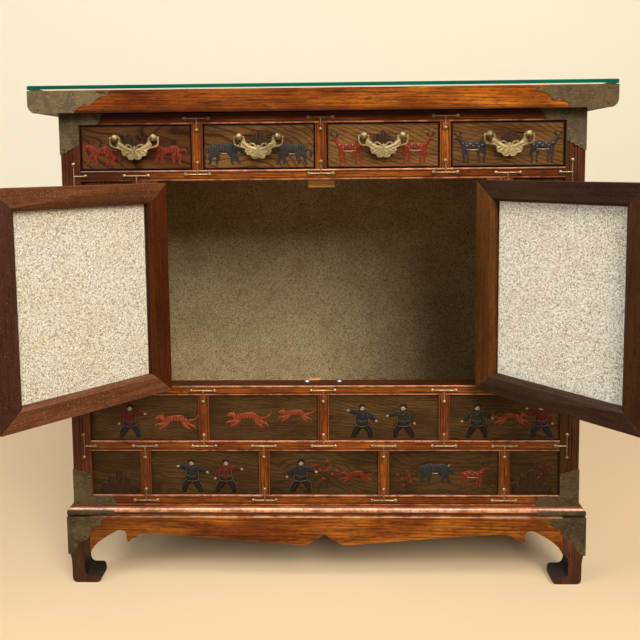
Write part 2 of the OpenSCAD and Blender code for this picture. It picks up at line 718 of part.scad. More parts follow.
// Hinges. Each is drawn at its axis, with the jamb towards -X and the closed door towards +X
barrel_r = pin_out;
knuckle_gap = 0.3;
mid_knuckle = hinge_h/3;
hinge_zs = [door_z + door_gap + hinge_inset, drawer_rail_z - door_gap - hinge_inset];
module knuckle(z0, z1) {
  translate([0, 0, z0]) difference() {
    cylinder(h = z1 - z0, r = barrel_r);
    translate([0, 0, -1]) cylinder(h = z1 - z0 + 2, r = pin_r + pin_play);
  }
}
module plate_lug(z0, z1) {
  difference() {
    translate([-barrel_r - 1, pin_out - hinge_t, z0]) cube([barrel_r + 1, hinge_t, z1 - z0]);
    translate([0, 0, z0 - 1]) cylinder(h = z1 - z0 + 2, r = pin_r + pin_play);
  }
}
module fixed_hinge() {
  h = hinge_h/2;
  m = mid_knuckle/2;
  translate([-barrel_r - 0.5 - hinge_plate_w, pin_out - hinge_t, -h]) cube([hinge_plate_w, hinge_t, 2*h]);
  for (s = [-1, 1]) {
    lo = s > 0 ? m + knuckle_gap : -h;
    hi = s > 0 ? h : -m - knuckle_gap;
    knuckle(lo, hi);
    plate_lug(lo, hi);
  }
}
module hinge_pin() {
  h = hinge_h/2;
  cap_r = 2.8;
  translate([0, 0, -h]) cylinder(h = 2*h, r = pin_r);
  for (s = [-1, 1]) translate([0, 0, s > 0 ? h : -h - 1.5]) cylinder(h = 1.5, r = cap_r);
}
module moving_hinge() {
  h = hinge_h/2;
  m = mid_knuckle/2;
  mirror([1, 0, 0]) {
    translate([-barrel_r - 0.5 - hinge_plate_w, pin_out - hinge_t, -h])
      cube([hinge_plate_w, hinge_t, 2*h]);
    plate_lug(-m, m);
  }
  knuckle(-m, m);
}
module at_left_hinges() {
  for (z = hinge_zs) translate([-pin_x, front_y - pin_out, z]) children();
}
module jamb_hinges() {
  color(BRASS) both_sides() at_left_hinges() {
    fixed_hinge();
    hinge_pin();
  }
}

// Doors. Each piece is drawn closed as the left door's, then swung to its rest place
leaf_x0 = -pin_x + hinge_gap;
leaf_x1 = -meeting_gap/2;
leaf_z0 = door_z + door_gap;
leaf_z1 = drawer_rail_z - door_gap;
leaf_panel_y0 = front_y + leaf_sink;
leaf_panel_y1 = front_y + leaf_t - lining_sink - paper_t;
module swing(open) {
  translate([-pin_x, front_y - pin_out, 0]) rotate(-open)
    translate([pin_x, -front_y + pin_out, 0]) children();
}
module place_left() { swing(open_left) children(); }
module place_right() { mirror([1, 0, 0]) swing(open_right) children(); }
// Bevelled member of the door frame, with its bevel on the inner face, along +X
module leaf_section() {
  difference() {
    square([leaf_frame_w, leaf_t]);
    translate([leaf_frame_w, leaf_t - leaf_bevel]) rotate(45) translate([0, -leaf_bevel])
      square([2*leaf_bevel, 3*leaf_bevel]);
  }
}
module leaf_member(l) {
  intersection() {
    translate([l, 0, 0]) rotate([0, -90, 0]) linear_extrude(l) leaf_section();
    translate([0, leaf_t + 1, 0]) rotate([90, 0, 0]) linear_extrude(leaf_t + 2) mitred(l, leaf_frame_w);
  }
}
module leaf_panel(grow) {
  g = groove_d + grow;
  box(leaf_x0 + leaf_frame_w - g, leaf_x1 - leaf_frame_w + g, leaf_panel_y0 - grow, leaf_panel_y1 + grow,
      leaf_z0 + leaf_frame_w - g, leaf_z1 - leaf_frame_w + g);
}
module leaf_frame() {
  w = leaf_x1 - leaf_x0;
  h = leaf_z1 - leaf_z0;
  difference() {
    union() {
      translate([leaf_x0, front_y, leaf_z0]) leaf_member(w);
      translate([leaf_x1, front_y, leaf_z1]) rotate([0, 180, 0]) leaf_member(w);
      translate([leaf_x0, front_y, leaf_z1]) rotate([0, 90, 0]) leaf_member(h);
      translate([leaf_x1, front_y, leaf_z0]) rotate([0, -90, 0]) leaf_member(h);
    }
    leaf_panel(groove_play);
  }
}
module leaf_lining() {
  box(leaf_x0 + leaf_frame_w + lining_trim, leaf_x1 - leaf_frame_w, leaf_panel_y1, leaf_panel_y1 + paper_t,
      leaf_z0 + leaf_frame_w, leaf_z1 - leaf_frame_w - lining_trim/2);
}
module leaf_knob() {
  rose_r = 13;
  rose_t = 1.2;
  neck_r = 3.5;
  neck_l = 7;
  translate([leaf_x1 - leaf_frame_w/2, front_y, (leaf_z0 + leaf_z1)/2]) rotate([90, 0, 0])
    rotate_extrude() {
      square([rose_r, rose_t]);
      square([neck_r, rose_t + neck_l + knob_r/2]);
      intersection() {
        translate([0, rose_t + neck_l + knob_r*0.6]) circle(knob_r);
        translate([0, rose_t + neck_l]) square([knob_r, knob_r*1.2]);
      }
    }
}
module door_left_frame() { color(WOOD_LEAF) place_left() leaf_frame(); }
module door_left_panel() { color(WOOD_PANEL) place_left() leaf_panel(0); }
module door_left_lining() { color(PAPER) place_left() leaf_lining(); }
module door_left_hinges() { color(BRASS) place_left() at_left_hinges() moving_hinge(); }
module door_left_knob() { color(BRASS) place_left() leaf_knob(); }
module door_right_frame() { color(WOOD_LEAF) place_right() leaf_frame(); }
module door_right_panel() { color(WOOD_PANEL) place_right() leaf_panel(0); }
module door_right_lining() { color(PAPER) place_right() leaf_lining(); }
module door_right_hinges() { color(BRASS) place_right() at_left_hinges() moving_hinge(); }
module door_right_knob() { color(BRASS) place_right() leaf_knob(); }

// Stops and catches for the closed doors
module door_stop_blocks() {
  stop_w = 47;
  stop_d = 15;
  stop_drop = 14;
  low_w = 20;
  low_d = 4;
  low_up = 3;
  low_shift = -16;
  color(WOOD_PALE) {
    box(-stop_w/2, stop_w/2, frame_back_y, frame_back_y + stop_d,
        drawer_rail_z - stop_drop, drawer_z - deck_t);
    box(low_shift - low_w/2, low_shift + low_w/2, frame_back_y, frame_back_y + low_d,
        sill_z, door_z + low_up);
  }
}
catch_x = 29;
catch_y = frame_back_y - 7;
catch_r = 3.5;
catch_l = 12;
module ball_catches() {
  rim_r = 4.8;
  rim_t = 0.6;
  dome_r = 2.6;
  color([0.8, 0.8, 0.82]) for (s = [-1, 1]) translate([s*catch_x, catch_y, door_z]) {
    translate([0, 0, -catch_l]) cylinder(h = catch_l, r = catch_r);
    cylinder(h = rim_t, r = rim_r);
    intersection() {
      translate([0, 0, door_gap - 0.5 - dome_r]) sphere(dome_r);
      cylinder(h = door_gap, r = dome_r + 1);
    }
  }
}

// Drawers. Each piece is drawn for a bay whose middle is at x = 0
front_w = bay_w - 2*front_gap;
front_z0 = drawer_z + front_gap;
front_z1 = top_rail_z - front_gap;
front_y0 = front_y + front_sink;
front_y1 = front_y0 + front_t;
box_hw = front_w/2 - drawer_play;
bottom_lift = 6;
pull_z = (front_z0 + front_z1)/2 + pull_up;
pull_y = front_y0 - pull_out;
shank_r = 2;
module drawer_bottom(grow) {
  g = drawer_side_t/2;
  box(-box_hw + g - grow, box_hw - g + grow, front_y1 - g - grow, drawer_back_y - g + grow,
      front_z0 + bottom_lift - grow, front_z0 + bottom_lift + drawer_bottom_t + grow);
}
module drawer_front() {
  color(WOOD_FRONT) difference() {
    box(-front_w/2, front_w/2, front_y0, front_y1, front_z0, front_z1);
    drawer_bottom(groove_play/2);
    for (s = [-1, 1]) translate([s*pull_x, front_y1 + 1, pull_z]) rotate([90, 0, 0])
      cylinder(h = front_t + 2, r = shank_r + 0.1);
  }
}
module drawer_box() {
  z0 = drawer_z + drawer_play;
  z1 = front_z1 - 1;
  color(WOOD_PALE) {
    difference() {
      union() {
        for (s = [-1, 1])
          box(s > 0 ? box_hw - drawer_side_t : -box_hw, s > 0 ? box_hw : -box_hw + drawer_side_t,
              front_y1, drawer_back_y, z0, z1);
        box(-box_hw + drawer_side_t + glue_gap, box_hw - drawer_side_t - glue_gap,
            drawer_back_y - drawer_side_t, drawer_back_y, z0, z1);
      }
      drawer_bottom(groove_play/2);
    }
    drawer_bottom(0);
  }
}
module pull_posts() {
  rose_r = 5;
  rose_t = 1.2;
  neck_r = 2.4;
  color(BRASS) for (s = [-1, 1]) translate([s*pull_x, front_y0, pull_z]) difference() {
    rotate([90, 0, 0]) {
      cylinder(h = rose_t, r = rose_r);
      cylinder(h = pull_out, r = neck_r);
      translate([0, 0, -front_t]) cylinder(h = front_t, r = shank_r);
      translate([0, 0, pull_out]) sphere(ball_r);
    }
    translate([-2*ball_r, -pull_out, 0]) rotate([0, 90, 0])
      cylinder(h = 4*ball_r, r = pull_pin_r + pin_play);
  }
}
// Half of the bat, from the top of its head out over the arch and along the arm, and back under
// the scalloped wing to the notch between the tail lobes. The tab on the arm's end takes the pin
tab_x = pull_x - ball_r - 0.6;
tab_w = 1.6;
bat_half = concat(
  [[0, -13.2]],
  bend([0, -13.2], [2, -14.2], [3.2, -16.2], 3),
  bend([3.2, -16.2], [6.5, -10.6], [11, -10.2], 5),
  bend([11, -10.2], [14.4, -10.2], [16.5, -13], 4),
  [[tab_x - 3.4, -7.4], [tab_x - tab_w, 1.6], [tab_x, 1.6], [tab_x, -3.6],
   [tab_x + 1.4, -4.6], [pull_x - 2.4, -11.6], [pull_x - 4.2, -16.4]],
  bend([pull_x - 4.2, -16.4], [25, -18.6], [21, -20.8], 3),
  bend([21, -20.8], [24.8, -25.2], [20.3, -27], 5),
  bend([20.3, -27], [20.8, -31.6], [15.6, -30.7], 5),
  bend([15.6, -30.7], [13.6, -32.6], [12.5, -30], 3),
  bend([12.5, -30], [12, -37.6], [6, -37.4], 6),
  bend([6, -37.4], [2.4, -37.4], [0, -33.6], 5));
eye = concat(
  bend([5.4, -16.8], [7.8, -12.4], [12.4, -12.4], 4),
  bend([12.4, -12.4], [14.4, -14.4], [11, -16.2], 3),
  bend([11, -16.2], [8, -17.4], [5.4, -16.8], 3));
// The wire curls from under the arm round the outside of the ball, up to the pin
curl_x = pull_x + ball_r + 2.2;
wire_r = 1.1;
curl_path = concat([[pull_x - 9, -18.6]],
  bend([pull_x - 9, -18.6], [pull_x - 4, -16.2], [pull_x + 1, -15.6], 3),
  bend([pull_x + 1, -15.6], [curl_x, -14.6], [curl_x, -6.5], 6),
  [[curl_x, 1.6]]);
function across(path, i) =
  let (d = path[min(i + 1, len(path) - 1)] - path[max(i - 1, 0)]) [-d[1], d[0]]/norm(d);
module ribbon(path, r) {
  polygon(concat([for (i = [0:len(path) - 1]) path[i] + r*across(path, i)],
                 [for (i = [len(path) - 1:-1:0]) path[i] - r*across(path, i)]));
}
module pull() {
  last = len(bat_half) - 1;
  color(BRASS) translate([0, pull_y, pull_z]) {
    translate([0, pull_t/2, 0]) rotate([90, 0, 0]) linear_extrude(pull_t) {
      difference() {
        polygon(concat(bat_half, [for (i = [last - 1:-1:1]) [-bat_half[i][0], bat_half[i][1]]]));
        for (s = [0, 1]) mirror([s, 0]) polygon(eye);
      }
      for (s = [0, 1]) mirror([s, 0]) ribbon(curl_path, wire_r);
    }
    for (s = [-1, 1])
      translate([s > 0 ? tab_x - tab_w/2 : -curl_x, 0, 0]) rotate([0, 90, 0])
        cylinder(h = curl_x - tab_x + tab_w/2, r = pull_pin_r);
  }
}
module in_bay(i) { translate([bay_xs[i], 0, 0]) children(); }
module drawer_part(i, part) {
  in_bay(i) {
    if (part == "front") drawer_front();
    if (part == "box") drawer_box();
    if (part == "pull_posts") pull_posts();
    if (part == "pull") pull();
  }
}

glass_top();
glass_pads();
top_board();
top_board_plates();
front_posts();
rear_posts();
top_rail();
drawer_rail();
sill_rail();
middle_rail();
bottom_rail();
drawer_muntins();
door_stiles();
panel_muntins();
upper_panels();
lower_panels();
flank_panels();
side_rails();
side_panels();
back_rails();
back_panels();
bottom_board();
drawer_deck();
paper_lining();
base_moulding();
base_aprons();
feet();
body_corner_plates();
foot_plates();
rail_straps();
jamb_hinges();
door_stop_blocks();
ball_catches();
door_left_frame();
door_left_panel();
door_left_lining();
door_left_hinges();
door_left_knob();
door_right_frame();
door_right_panel();
door_right_lining();
door_right_hinges();
door_right_knob();
for (i = [1:bays]) for (part = DRAWER_PARTS)
  drawer_part(i - 1, part);
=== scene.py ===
import math

import bmesh
import bpy
import numpy as np
from mathutils import Matrix, Vector


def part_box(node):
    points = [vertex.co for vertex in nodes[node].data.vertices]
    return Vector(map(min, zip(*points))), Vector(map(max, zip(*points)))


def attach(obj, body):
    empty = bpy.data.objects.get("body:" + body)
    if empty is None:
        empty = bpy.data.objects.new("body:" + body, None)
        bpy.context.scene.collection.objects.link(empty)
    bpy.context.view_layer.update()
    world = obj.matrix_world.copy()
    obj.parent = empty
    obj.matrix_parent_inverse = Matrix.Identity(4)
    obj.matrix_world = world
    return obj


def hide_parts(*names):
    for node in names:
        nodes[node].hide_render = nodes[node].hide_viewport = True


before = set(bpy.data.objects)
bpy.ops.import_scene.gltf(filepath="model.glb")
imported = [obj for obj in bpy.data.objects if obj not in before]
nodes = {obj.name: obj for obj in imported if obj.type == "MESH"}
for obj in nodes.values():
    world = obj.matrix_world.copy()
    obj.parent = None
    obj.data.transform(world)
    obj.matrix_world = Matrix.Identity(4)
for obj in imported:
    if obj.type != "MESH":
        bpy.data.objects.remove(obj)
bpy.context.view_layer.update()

mm = 0.001
print("frame loaded,", len(nodes), "nodes")


# Camera, at the photograph's own viewpoint
cameraView = {
    "place": (0.0234, -1.346, 0.7518), "yaw": -0.0228, "pitch": 0.0789, "roll": -0.0098,
    "focal": 660.6, "centreRow": 214.1, "frame": 640, "sensor": 36.0,
}


def addCamera(v):
    data = bpy.data.cameras.new("viewCamera")
    data.sensor_width = v["sensor"]
    data.lens = v["focal"] / v["frame"] * v["sensor"]
    data.shift_y = (v["centreRow"] - v["frame"] / 2) / v["frame"]
    yaw, pitch, roll = v["yaw"], v["pitch"], v["roll"]
    ahead = Vector((math.sin(yaw) * math.cos(pitch), math.cos(yaw) * math.cos(pitch), -math.sin(pitch)))
    level = Vector((math.cos(yaw), -math.sin(yaw), 0))
    upright = level.cross(ahead)
    right = math.cos(roll) * level + math.sin(roll) * upright
    up = math.cos(roll) * upright - math.sin(roll) * level
    obj = bpy.data.objects.new("viewCamera", data)
    obj.matrix_world = Matrix.Translation(v["place"]) @ Matrix((right, up, -ahead)).transposed().to_4x4()
    bpy.context.scene.collection.objects.link(obj)
    bpy.context.scene.camera = obj


addCamera(cameraView)
bpy.context.scene.view_settings.view_transform = "Standard"


# Node graph helpers
def tone(r, g, b):  # an sRGB colour in 0 to 255, made linear
    c = np.array([r, g, b]) / 255
    return (*np.where(c < 0.04045, c / 12.92, ((c + 0.055) / 1.055) ** 2.4).tolist(), 1.0)


def scaled(colour, gain):  # a darker or paler colour
    return (*[min(1.0, gain * c) for c in colour[:3]], 1.0)


class Graph:
    def __init__(self, name):
        self.material = bpy.data.materials.new(name)
        self.material.use_nodes = True
        self.tree = self.material.node_tree
        self.tree.nodes.clear()
        self.shader = self.add("BsdfPrincipled")
        out = self.add("OutputMaterial")
        self.tree.links.new(self.shader.outputs[0], out.inputs["Surface"])
        self.coords = self.add("TexCoord").outputs["Object"]

    def add(self, kind, inputs=None, **props):
        node = self.tree.nodes.new("ShaderNode" + kind)
        for key, value in props.items():
            setattr(node, key, value)
        for key, value in (inputs or {}).items():
            self.feed(node.inputs[key], value)
        return node

    def feed(self, socket, value):
        if isinstance(value, bpy.types.NodeSocket):
            self.tree.links.new(value, socket)
        else:
            socket.default_value = value

    def set(self, **values):  # shader sockets, with spaces written as underscores
        for key, value in values.items():
            self.feed(self.shader.inputs[key.replace("_", " ")], value)

    def math(self, op, *values):
        return self.add("Math", dict(enumerate(values)), operation=op).outputs[0]

    def times(self, a, b):
        return self.math("MULTIPLY", a, b)

    def plus(self, a, b):
        return self.math("ADD", a, b)

    def minus(self, a, b):
        return self.math("SUBTRACT", a, b)

    def weighed(self, a, weight, b):  # a times its weight, plus b
        return self.math("MULTIPLY_ADD", a, weight, b)

    def absolute(self, a):
        return self.math("ABSOLUTE", a)

    def least(self, a, b):
        return self.math("MINIMUM", a, b)

    def moved(self, v, by):
        return self.add("VectorMath", {0: v, 1: by}, operation="ADD").outputs[0]

    def length(self, a):
        return self.add("VectorMath", {0: a}, operation="LENGTH").outputs["Value"]

    def split(self, v):
        return self.add("SeparateXYZ", {0: v}).outputs

    def join(self, x, y, z):
        return self.add("CombineXYZ", {0: x, 1: y, 2: z}).outputs[0]

    def place(self, v, move=(0, 0, 0), turn=(0, 0, 0), scale=(1, 1, 1)):
        return self.add("Mapping", {"Vector": v, "Location": move, "Rotation": turn,
                                    "Scale": scale}).outputs[0]

    def noise(self, v, scale, detail=3.0, rough=0.5, bend=0.0):
        return self.add("TexNoise", {"Vector": v, "Scale": scale, "Detail": detail, "Roughness": rough,
                                     "Distortion": bend}).outputs["Fac"]

    def cells(self, v, scale):
        return self.add("TexVoronoi", {"Vector": v, "Scale": scale}).outputs["Distance"]

    def range(self, value, low, high, toLow=0.0, toHigh=1.0):
        return self.add("MapRange", {"Value": value, "From Min": low, "From Max": high, "To Min": toLow,
                                     "To Max": toHigh}, interpolation_type="SMOOTHSTEP").outputs[0]

    def within(self, value, edges, most=1.0):  # from nought to most between two distances in mm
        return self.range(value, edges[0] * mm, edges[1] * mm, 0.0, most)

    def mix(self, factor, a, b, how="MIX"):
        return self.add("Mix", {0: factor, 6: a, 7: b}, data_type="RGBA", blend_type=how).outputs[2]

    def mixVector(self, factor, a, b):
        return self.add("Mix", {0: factor, 4: a, 5: b}, data_type="VECTOR").outputs[1]

    def bump(self, height, depth):
        self.set(Normal=self.add("Bump", {"Strength": 1.0, "Distance": depth, "Height": height}).outputs[0])


# Where the pieces of the case stand, in mm, as in the part's source
case = {
    "front": -210.0, "panelFace": -204.0, "drawerFace": -207.0, "standFront": -220.0, "halfWidth": 450,
    "railEdges": (139, 159, 239, 259, 341, 359, 721, 740, 818, 838), "bay": 212.75, "muntinHalf": 11.5,
    "topRail": 828, "drawerRail": 730.5, "drawerStraps": 732, "sillRail": 350, "middleRail": 249,
    "bottomRail": 149,
    "muntins": (-212.75, 0, 212.75), "lowerMuntins": (-319.125, -106.375, 106.375, 319.125),
    "postMiddle": 428, "boardEnd": 495, "boardTop": 876, "standEnd": 460, "legTop": 122.2,
    "pullHeight": 795.5, "pullFace": -218.2, "pullSide": 33,
}


# Grain directions. Each returns the coordinates with the grain along their x
def alongX(g):
    return g.coords


def alongY(g):
    s = g.split(g.coords)
    return g.join(s[1], s[0], s[2])


def alongZ(g):
    s = g.split(g.coords)
    return g.join(s[2], s[1], s[0])


def byMask(mask, first, second):
    def space(g):
        return g.mixVector(mask(g), first(g), second(g))
    return space


# A tint changes the colours from the left end to the right end
def drifted(g, look, colour):
    if "drift" not in look:
        return colour
    left, right = look["drift"]
    tint = g.mix(g.range(g.split(g.coords)[0], *grain["drift"]), left, right)
    return g.mix(1.0, colour, tint, "MULTIPLY")


# Wood: rings round a pith that runs along x, bent by slow noise, plus fibres, flecks and pores.
# ring phase = (distance from the pith + tilt along the grain + slow and curly noise) / ring width
grain = {  # noise scales along and across the grain; bead and quirk distances from an edge, in mm
    "slowAcross": (9, 9), "curly": (18, 34, 34), "cloud": (9, 26, 26), "rub": 48, "row": 0.25,
    "bayShift": 0.083, "rowShift": 0.05, "ringEnd": (0.84, 0.92), "clouded": (0.32, 0.68),
    "beadInner": (3.4, 2.7), "beadOuter": (0.2, 0.9), "quirkAt": 4.3, "quirkFade": (1.3, 0.4),
    "darkX": 0.05, "darkFrom": 0.2, "darkTo": 0.46, "behind": 0.85, "rimFade": (2.4, 0.6),
    "drift": (-0.4, 0.4), "rubShown": (0.4, 0.6, 0.12), "sootPatches": (0.2, 0.6, 0.72, 0.94),
    "stileFade": (0.03, 0.27), "uneven": (0.4, 1.0), "smooth": 0.08, "coarse": 0.12,
}
grainMarks = {  # noise scales along and across the grain, its detail and roughness, and where it shows
    "fibre": ((14, 420, 420), (3.0, 0.65), (0.42, 0.72)),
    "fleck": ((70, 520, 520), (2.0, 0.6), (0.54, 0.66)),
    "pore": ((45, 1500, 1500), (2.0, 0.6), (0.56, 0.7)),
}


def wood(name, space, look):
    g = Graph(name)
    v = space(g)
    if "bay" in look:
        s = g.split(v)
        bay = g.math("FLOOR", g.math("DIVIDE", g.plus(s[0], look["bay"]), case["bay"] * mm))
        row = g.math("FLOOR", g.math("DIVIDE", s[2], grain["row"]))
        v = g.moved(v, g.join(0.0, g.times(bay, grain["bayShift"]), g.times(row, grain["rowShift"])))
    slow = g.noise(g.place(v, scale=(look["slow"], *grain["slowAcross"])), 1.0, 2.0, 0.5, 0.4)
    curly = g.noise(g.place(v, scale=grain["curly"]), 1.0, 2.0, 0.5)
    s = g.split(v)
    acrossY = g.plus(s[1], look["pith"][0])
    acrossZ = g.weighed(s[0], look["tilt"], g.plus(s[2], look["pith"][1]))
    reach = g.length(g.join(acrossY, acrossZ, 0.0))
    phase = g.weighed(slow, look["sway"], reach)
    phase = g.weighed(curly, look["curl"], phase)
    ring = g.math("FRACT", g.math("DIVIDE", phase, look["ring"]))
    full, last = grain["ringEnd"]
    late = g.times(g.range(ring, look["late"], full), g.range(ring, 1.0, last))
    cloud = g.noise(g.place(v, scale=grain["cloud"]), 1.0, 4.0, 0.62)
    colour = g.mix(g.range(cloud, *grain["clouded"]), look["mid"], look["light"])
    colour = g.mix(g.times(late, look["figure"]), colour, look["dark"])
    marks = {}
    for key, (scale, kind, shown) in grainMarks.items():
        marks[key] = g.noise(g.place(v, scale=scale), 1.0, *kind)
        colour = g.mix(g.times(g.range(marks[key], *shown), look[key]), colour, look["dark"])
    # Beads: a pale line, partly wear and partly a painted highlight; the quirk beside each bead darkened, as
    # painted shade
    if "edges" in look:
        away = look["edges"](g)
        rub = g.noise(g.coords, grain["rub"], 5.0, 0.65)
        bead = g.times(g.within(away, grain["beadInner"]), g.within(away, grain["beadOuter"]))
        bare = g.times(bead, g.range(rub, *grain["rubShown"], look["rubbed"]))
        colour = g.mix(bare, colour, look["bare"])
        quirk = g.within(g.absolute(g.minus(away, grain["quirkAt"] * mm)), grain["quirkFade"])
        colour = g.mix(g.times(quirk, look["quirk"]), colour, look["dark"])
    # A band darker towards a level: on the top rail a painted shadow under the board's overhang, on the board
    # darker towards its lower edge
    if "under" in look:
        low, high, most = look["under"]
        darkBand = g.range(g.split(g.coords)[2], low * mm, high * mm, 0.0, most)
        colour = g.mix(darkBand, colour, look["dark"])
    if "ends" in look:
        s = g.split(g.coords)
        sideways = g.absolute(g.minus(s[0], grain["darkX"]))
        dim = g.range(sideways, grain["darkFrom"], grain["darkTo"], 0.0, look["ends"])
        if "back" in look:
            behind = g.range(s[1], look["back"], look["back"] + mm, 0.0, grain["behind"])
            dim = g.math("MAXIMUM", behind, dim)
        colour = g.mix(dim, colour, look["dark"])
    # Painted shade along the edges of each drawer front, where the gap round it is dark
    if "rims" in look:
        rim = g.within(boxRim(g, look["rims"]), grain["rimFade"], grain["behind"])
        colour = g.mix(rim, colour, look["dark"])
    # The scooped hollows of the toes are darker, in patches
    if look.get("soot"):
        patches = g.range(cloud, *grain["sootPatches"])
        colour = g.mix(g.times(g.range(footHollow(g), 0.0, mm), patches), colour, look["soot"])
    if "worn" in look:
        worn = look["worn"]
        spots = g.noise(g.coords, worn["scale"], 5.0, 0.62)
        spot = g.range(spots, worn["from"], worn["from"] + 0.1, 0.0, worn["most"])
        colour = g.mix(spot, colour, worn["colour"])
    if "across" in look:
        side, rails, free, hinge = look["across"]
        across = g.absolute(g.split(doorShut(side)(g))[0])
        stiles = g.mix(g.range(across, *grain["stileFade"]), free, hinge)
        colour = g.mix(1.0, colour, g.mix(doorStiles(side)(g), rails, stiles), "MULTIPLY")
    g.set(Base_Color=drifted(g, look, colour), Coat_Weight=look["coat"], Coat_Roughness=look["coatRough"])
    g.set(Specular_IOR_Level=look["shine"])
    uneven = g.plus(cloud, g.times(marks["fibre"], 0.4))
    least, most = look["rough"] - grain["smooth"], look["rough"] + grain["coarse"]
    g.set(Roughness=g.range(uneven, *grain["uneven"], least, most))
    height = g.weighed(marks["fibre"], 0.6, g.times(late, -0.5))
    g.bump(g.weighed(marks["pore"], 0.5, height), look["relief"] * mm)
    return g.material


def shade(base, **changes):
    return {**base, **changes}


def gained(look, gain):  # the same wood with its mid and light tones multiplied
    return {**look, **{key: scaled(look[key], gain) for key in ("mid", "light")}}


# Distances from a piece's own long edges, which the beads follow
def railEdges(g):
    height = g.split(g.coords)[2]
    away = [g.absolute(g.minus(height, level * mm)) for level in case["railEdges"]]
    while len(away) > 1:
        away = [g.least(*pair) for pair in zip(away[::2], away[1::2])] + away[len(away) // 2 * 2:]
    return away[0]


def muntinEdges(g):
    pitch = case["bay"] / 2 * mm
    x = g.split(g.coords)[0]
    middle = g.times(g.math("ROUND", g.math("DIVIDE", x, pitch)), pitch)
    away = g.absolute(g.minus(x, middle))
    return g.absolute(g.minus(away, case["muntinHalf"] * mm))


def belowLevel(level, gain):  # distance below a level in mm, times a gain that sets the bead's width
    return lambda g: g.times(g.minus(level * mm, g.split(g.coords)[2]), gain)


def boxRim(g, name):  # distance from the nearest edge of a flat front
    low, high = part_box(name)
    s = g.split(g.coords)
    return g.least(*[g.least(g.minus(s[k], low[k]), g.minus(high[k], s[k])) for k in (0, 2)])


def inset(g, name, sunk=(0, 0)):  # how far a point lies inside a piece's outer x and y faces, less sunk mm
    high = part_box(name)[1]
    s = g.split(g.coords)
    return [g.minus(high[k] - sunk[k] * mm, g.absolute(s[k])) for k in (0, 1)]


def footHollow(g):  # the scooped side of a foot's toe lies inside its front and outer faces
    return g.least(*inset(g, "feet", (8, 0.8)))


stainLook = {
    "dark": tone(52, 18, 6), "mid": tone(128, 60, 13), "light": tone(182, 100, 26),
    "slow": 2.2, "pith": (0.11, 0.03), "tilt": 0.02, "sway": 0.012, "curl": 0.003, "ring": 0.0045,
    "late": 0.35, "figure": 0.45, "fibre": 0.8, "fleck": 0.6, "pore": 0.5, "rough": 0.42, "coat": 0.6,
    "coatRough": 0.14, "shine": 0.1, "relief": 0.14, "bare": tone(206, 136, 98), "rubbed": 0.8,
    "quirk": 0.8,
}
railLook = shade(stainLook, back=-209.3 * mm, ends=0.4)
boardLook = shade(stainLook, dark=tone(50, 20, 5), mid=tone(113, 50, 3), light=tone(180, 95, 10),
                  ring=0.006, under=(846, 838, 0.8), figure=0.35, fibre=0.85, fleck=0.6, pith=(0.2, 0.1),
                  drift=((0.62, 0.5, 0.3, 1.0), (1.36, 1.5, 1.1, 1.0)))
# The moulding: a pale band along its rounded top, mostly a painted highlight, partly wear
mouldingLook = shade(stainLook, coat=1.0, coatRough=0.24, ends=0.1, edges=belowLevel(138.8, 0.46),
                     bare=tone(230, 158, 110), rubbed=0.9)
# The apron: a pale line along its top edge, a painted highlight
apronLook = shade(stainLook, mid=tone(124, 58, 12), light=tone(198, 114, 30), ends=0.5, figure=0.35,
                  edges=belowLevel(124.2, 1.4), bare=tone(222, 172, 134), rubbed=0.9, quirk=0.0)
postLook = shade(stainLook, dark=tone(36, 12, 7), mid=tone(85, 41, 21), light=tone(113, 56, 29),
                 drift=((1.0, 1.0, 1.0, 1.0), (0.68, 0.82, 0.6, 1.0)))
footLook = shade(postLook, dark=tone(36, 20, 12), mid=tone(84, 49, 29), light=tone(112, 68, 42),
                 drift=((0.95, 1.0, 1.0, 1.0), (1.3, 1.25, 1.15, 1.0)), soot=tone(34, 30, 27))
doorLook = shade(stainLook, dark=tone(44, 24, 15), mid=tone(96, 56, 36), light=tone(118, 72, 48),
                 coat=0.04, coatRough=0.35, rough=0.55, relief=0.25, fibre=0.5, fleck=0.5, figure=0.12,
                 ring=0.012, worn={"colour": tone(160, 118, 92), "scale": 420, "from": 0.56, "most": 0.55})
rightDoorLook = shade(doorLook, dark=tone(36, 22, 14), mid=tone(80, 52, 36), light=tone(98, 66, 46),
                      worn=shade(doorLook["worn"], most=0.25))
elmLook = {
    "dark": tone(34, 18, 8), "mid": tone(96, 62, 28), "light": tone(130, 90, 44),
    "slow": 5.0, "pith": (0.02, -0.56), "tilt": 0.3, "sway": 0.055, "curl": 0.006, "ring": 0.0082,
    "late": 0.58, "figure": 0.62, "fibre": 0.5, "fleck": 0.5, "pore": 0.4, "rough": 0.45, "coat": 0.15,
    "coatRough": 0.2, "shine": 0.1, "relief": 0.2,
}
drawerElms = (  # each drawer's front is cut from another part of the log
    gained(shade(elmLook, mid=tone(92, 54, 22), light=tone(122, 78, 34), tilt=0.75, sway=0.06, ring=0.0078,
                 figure=0.8), 0.62),
    gained(shade(elmLook, tilt=0.46, sway=0.075, slow=6.0, ring=0.0092, figure=0.7), 0.98),
    gained(shade(elmLook, tilt=0.4, sway=0.04, ring=0.0058, figure=0.55, late=0.5), 1.14),
    shade(elmLook, sway=0.045, ring=0.0055, figure=0.55, late=0.5),
)
panelLook = shade(elmLook, dark=tone(34, 22, 10), mid=tone(72, 49, 24), light=tone(98, 70, 35), bay=0.85,
                  pith=(0.02, -0.12), tilt=0.16, ring=0.0042, sway=0.06, figure=0.5, curl=0.005, late=0.5)
paleLook = shade(stainLook, dark=tone(150, 108, 60), mid=tone(196, 152, 92), light=tone(214, 176, 118),
                 coat=0.0, rough=0.6, figure=0.3, fibre=0.25, fleck=0.2, pore=0.2)
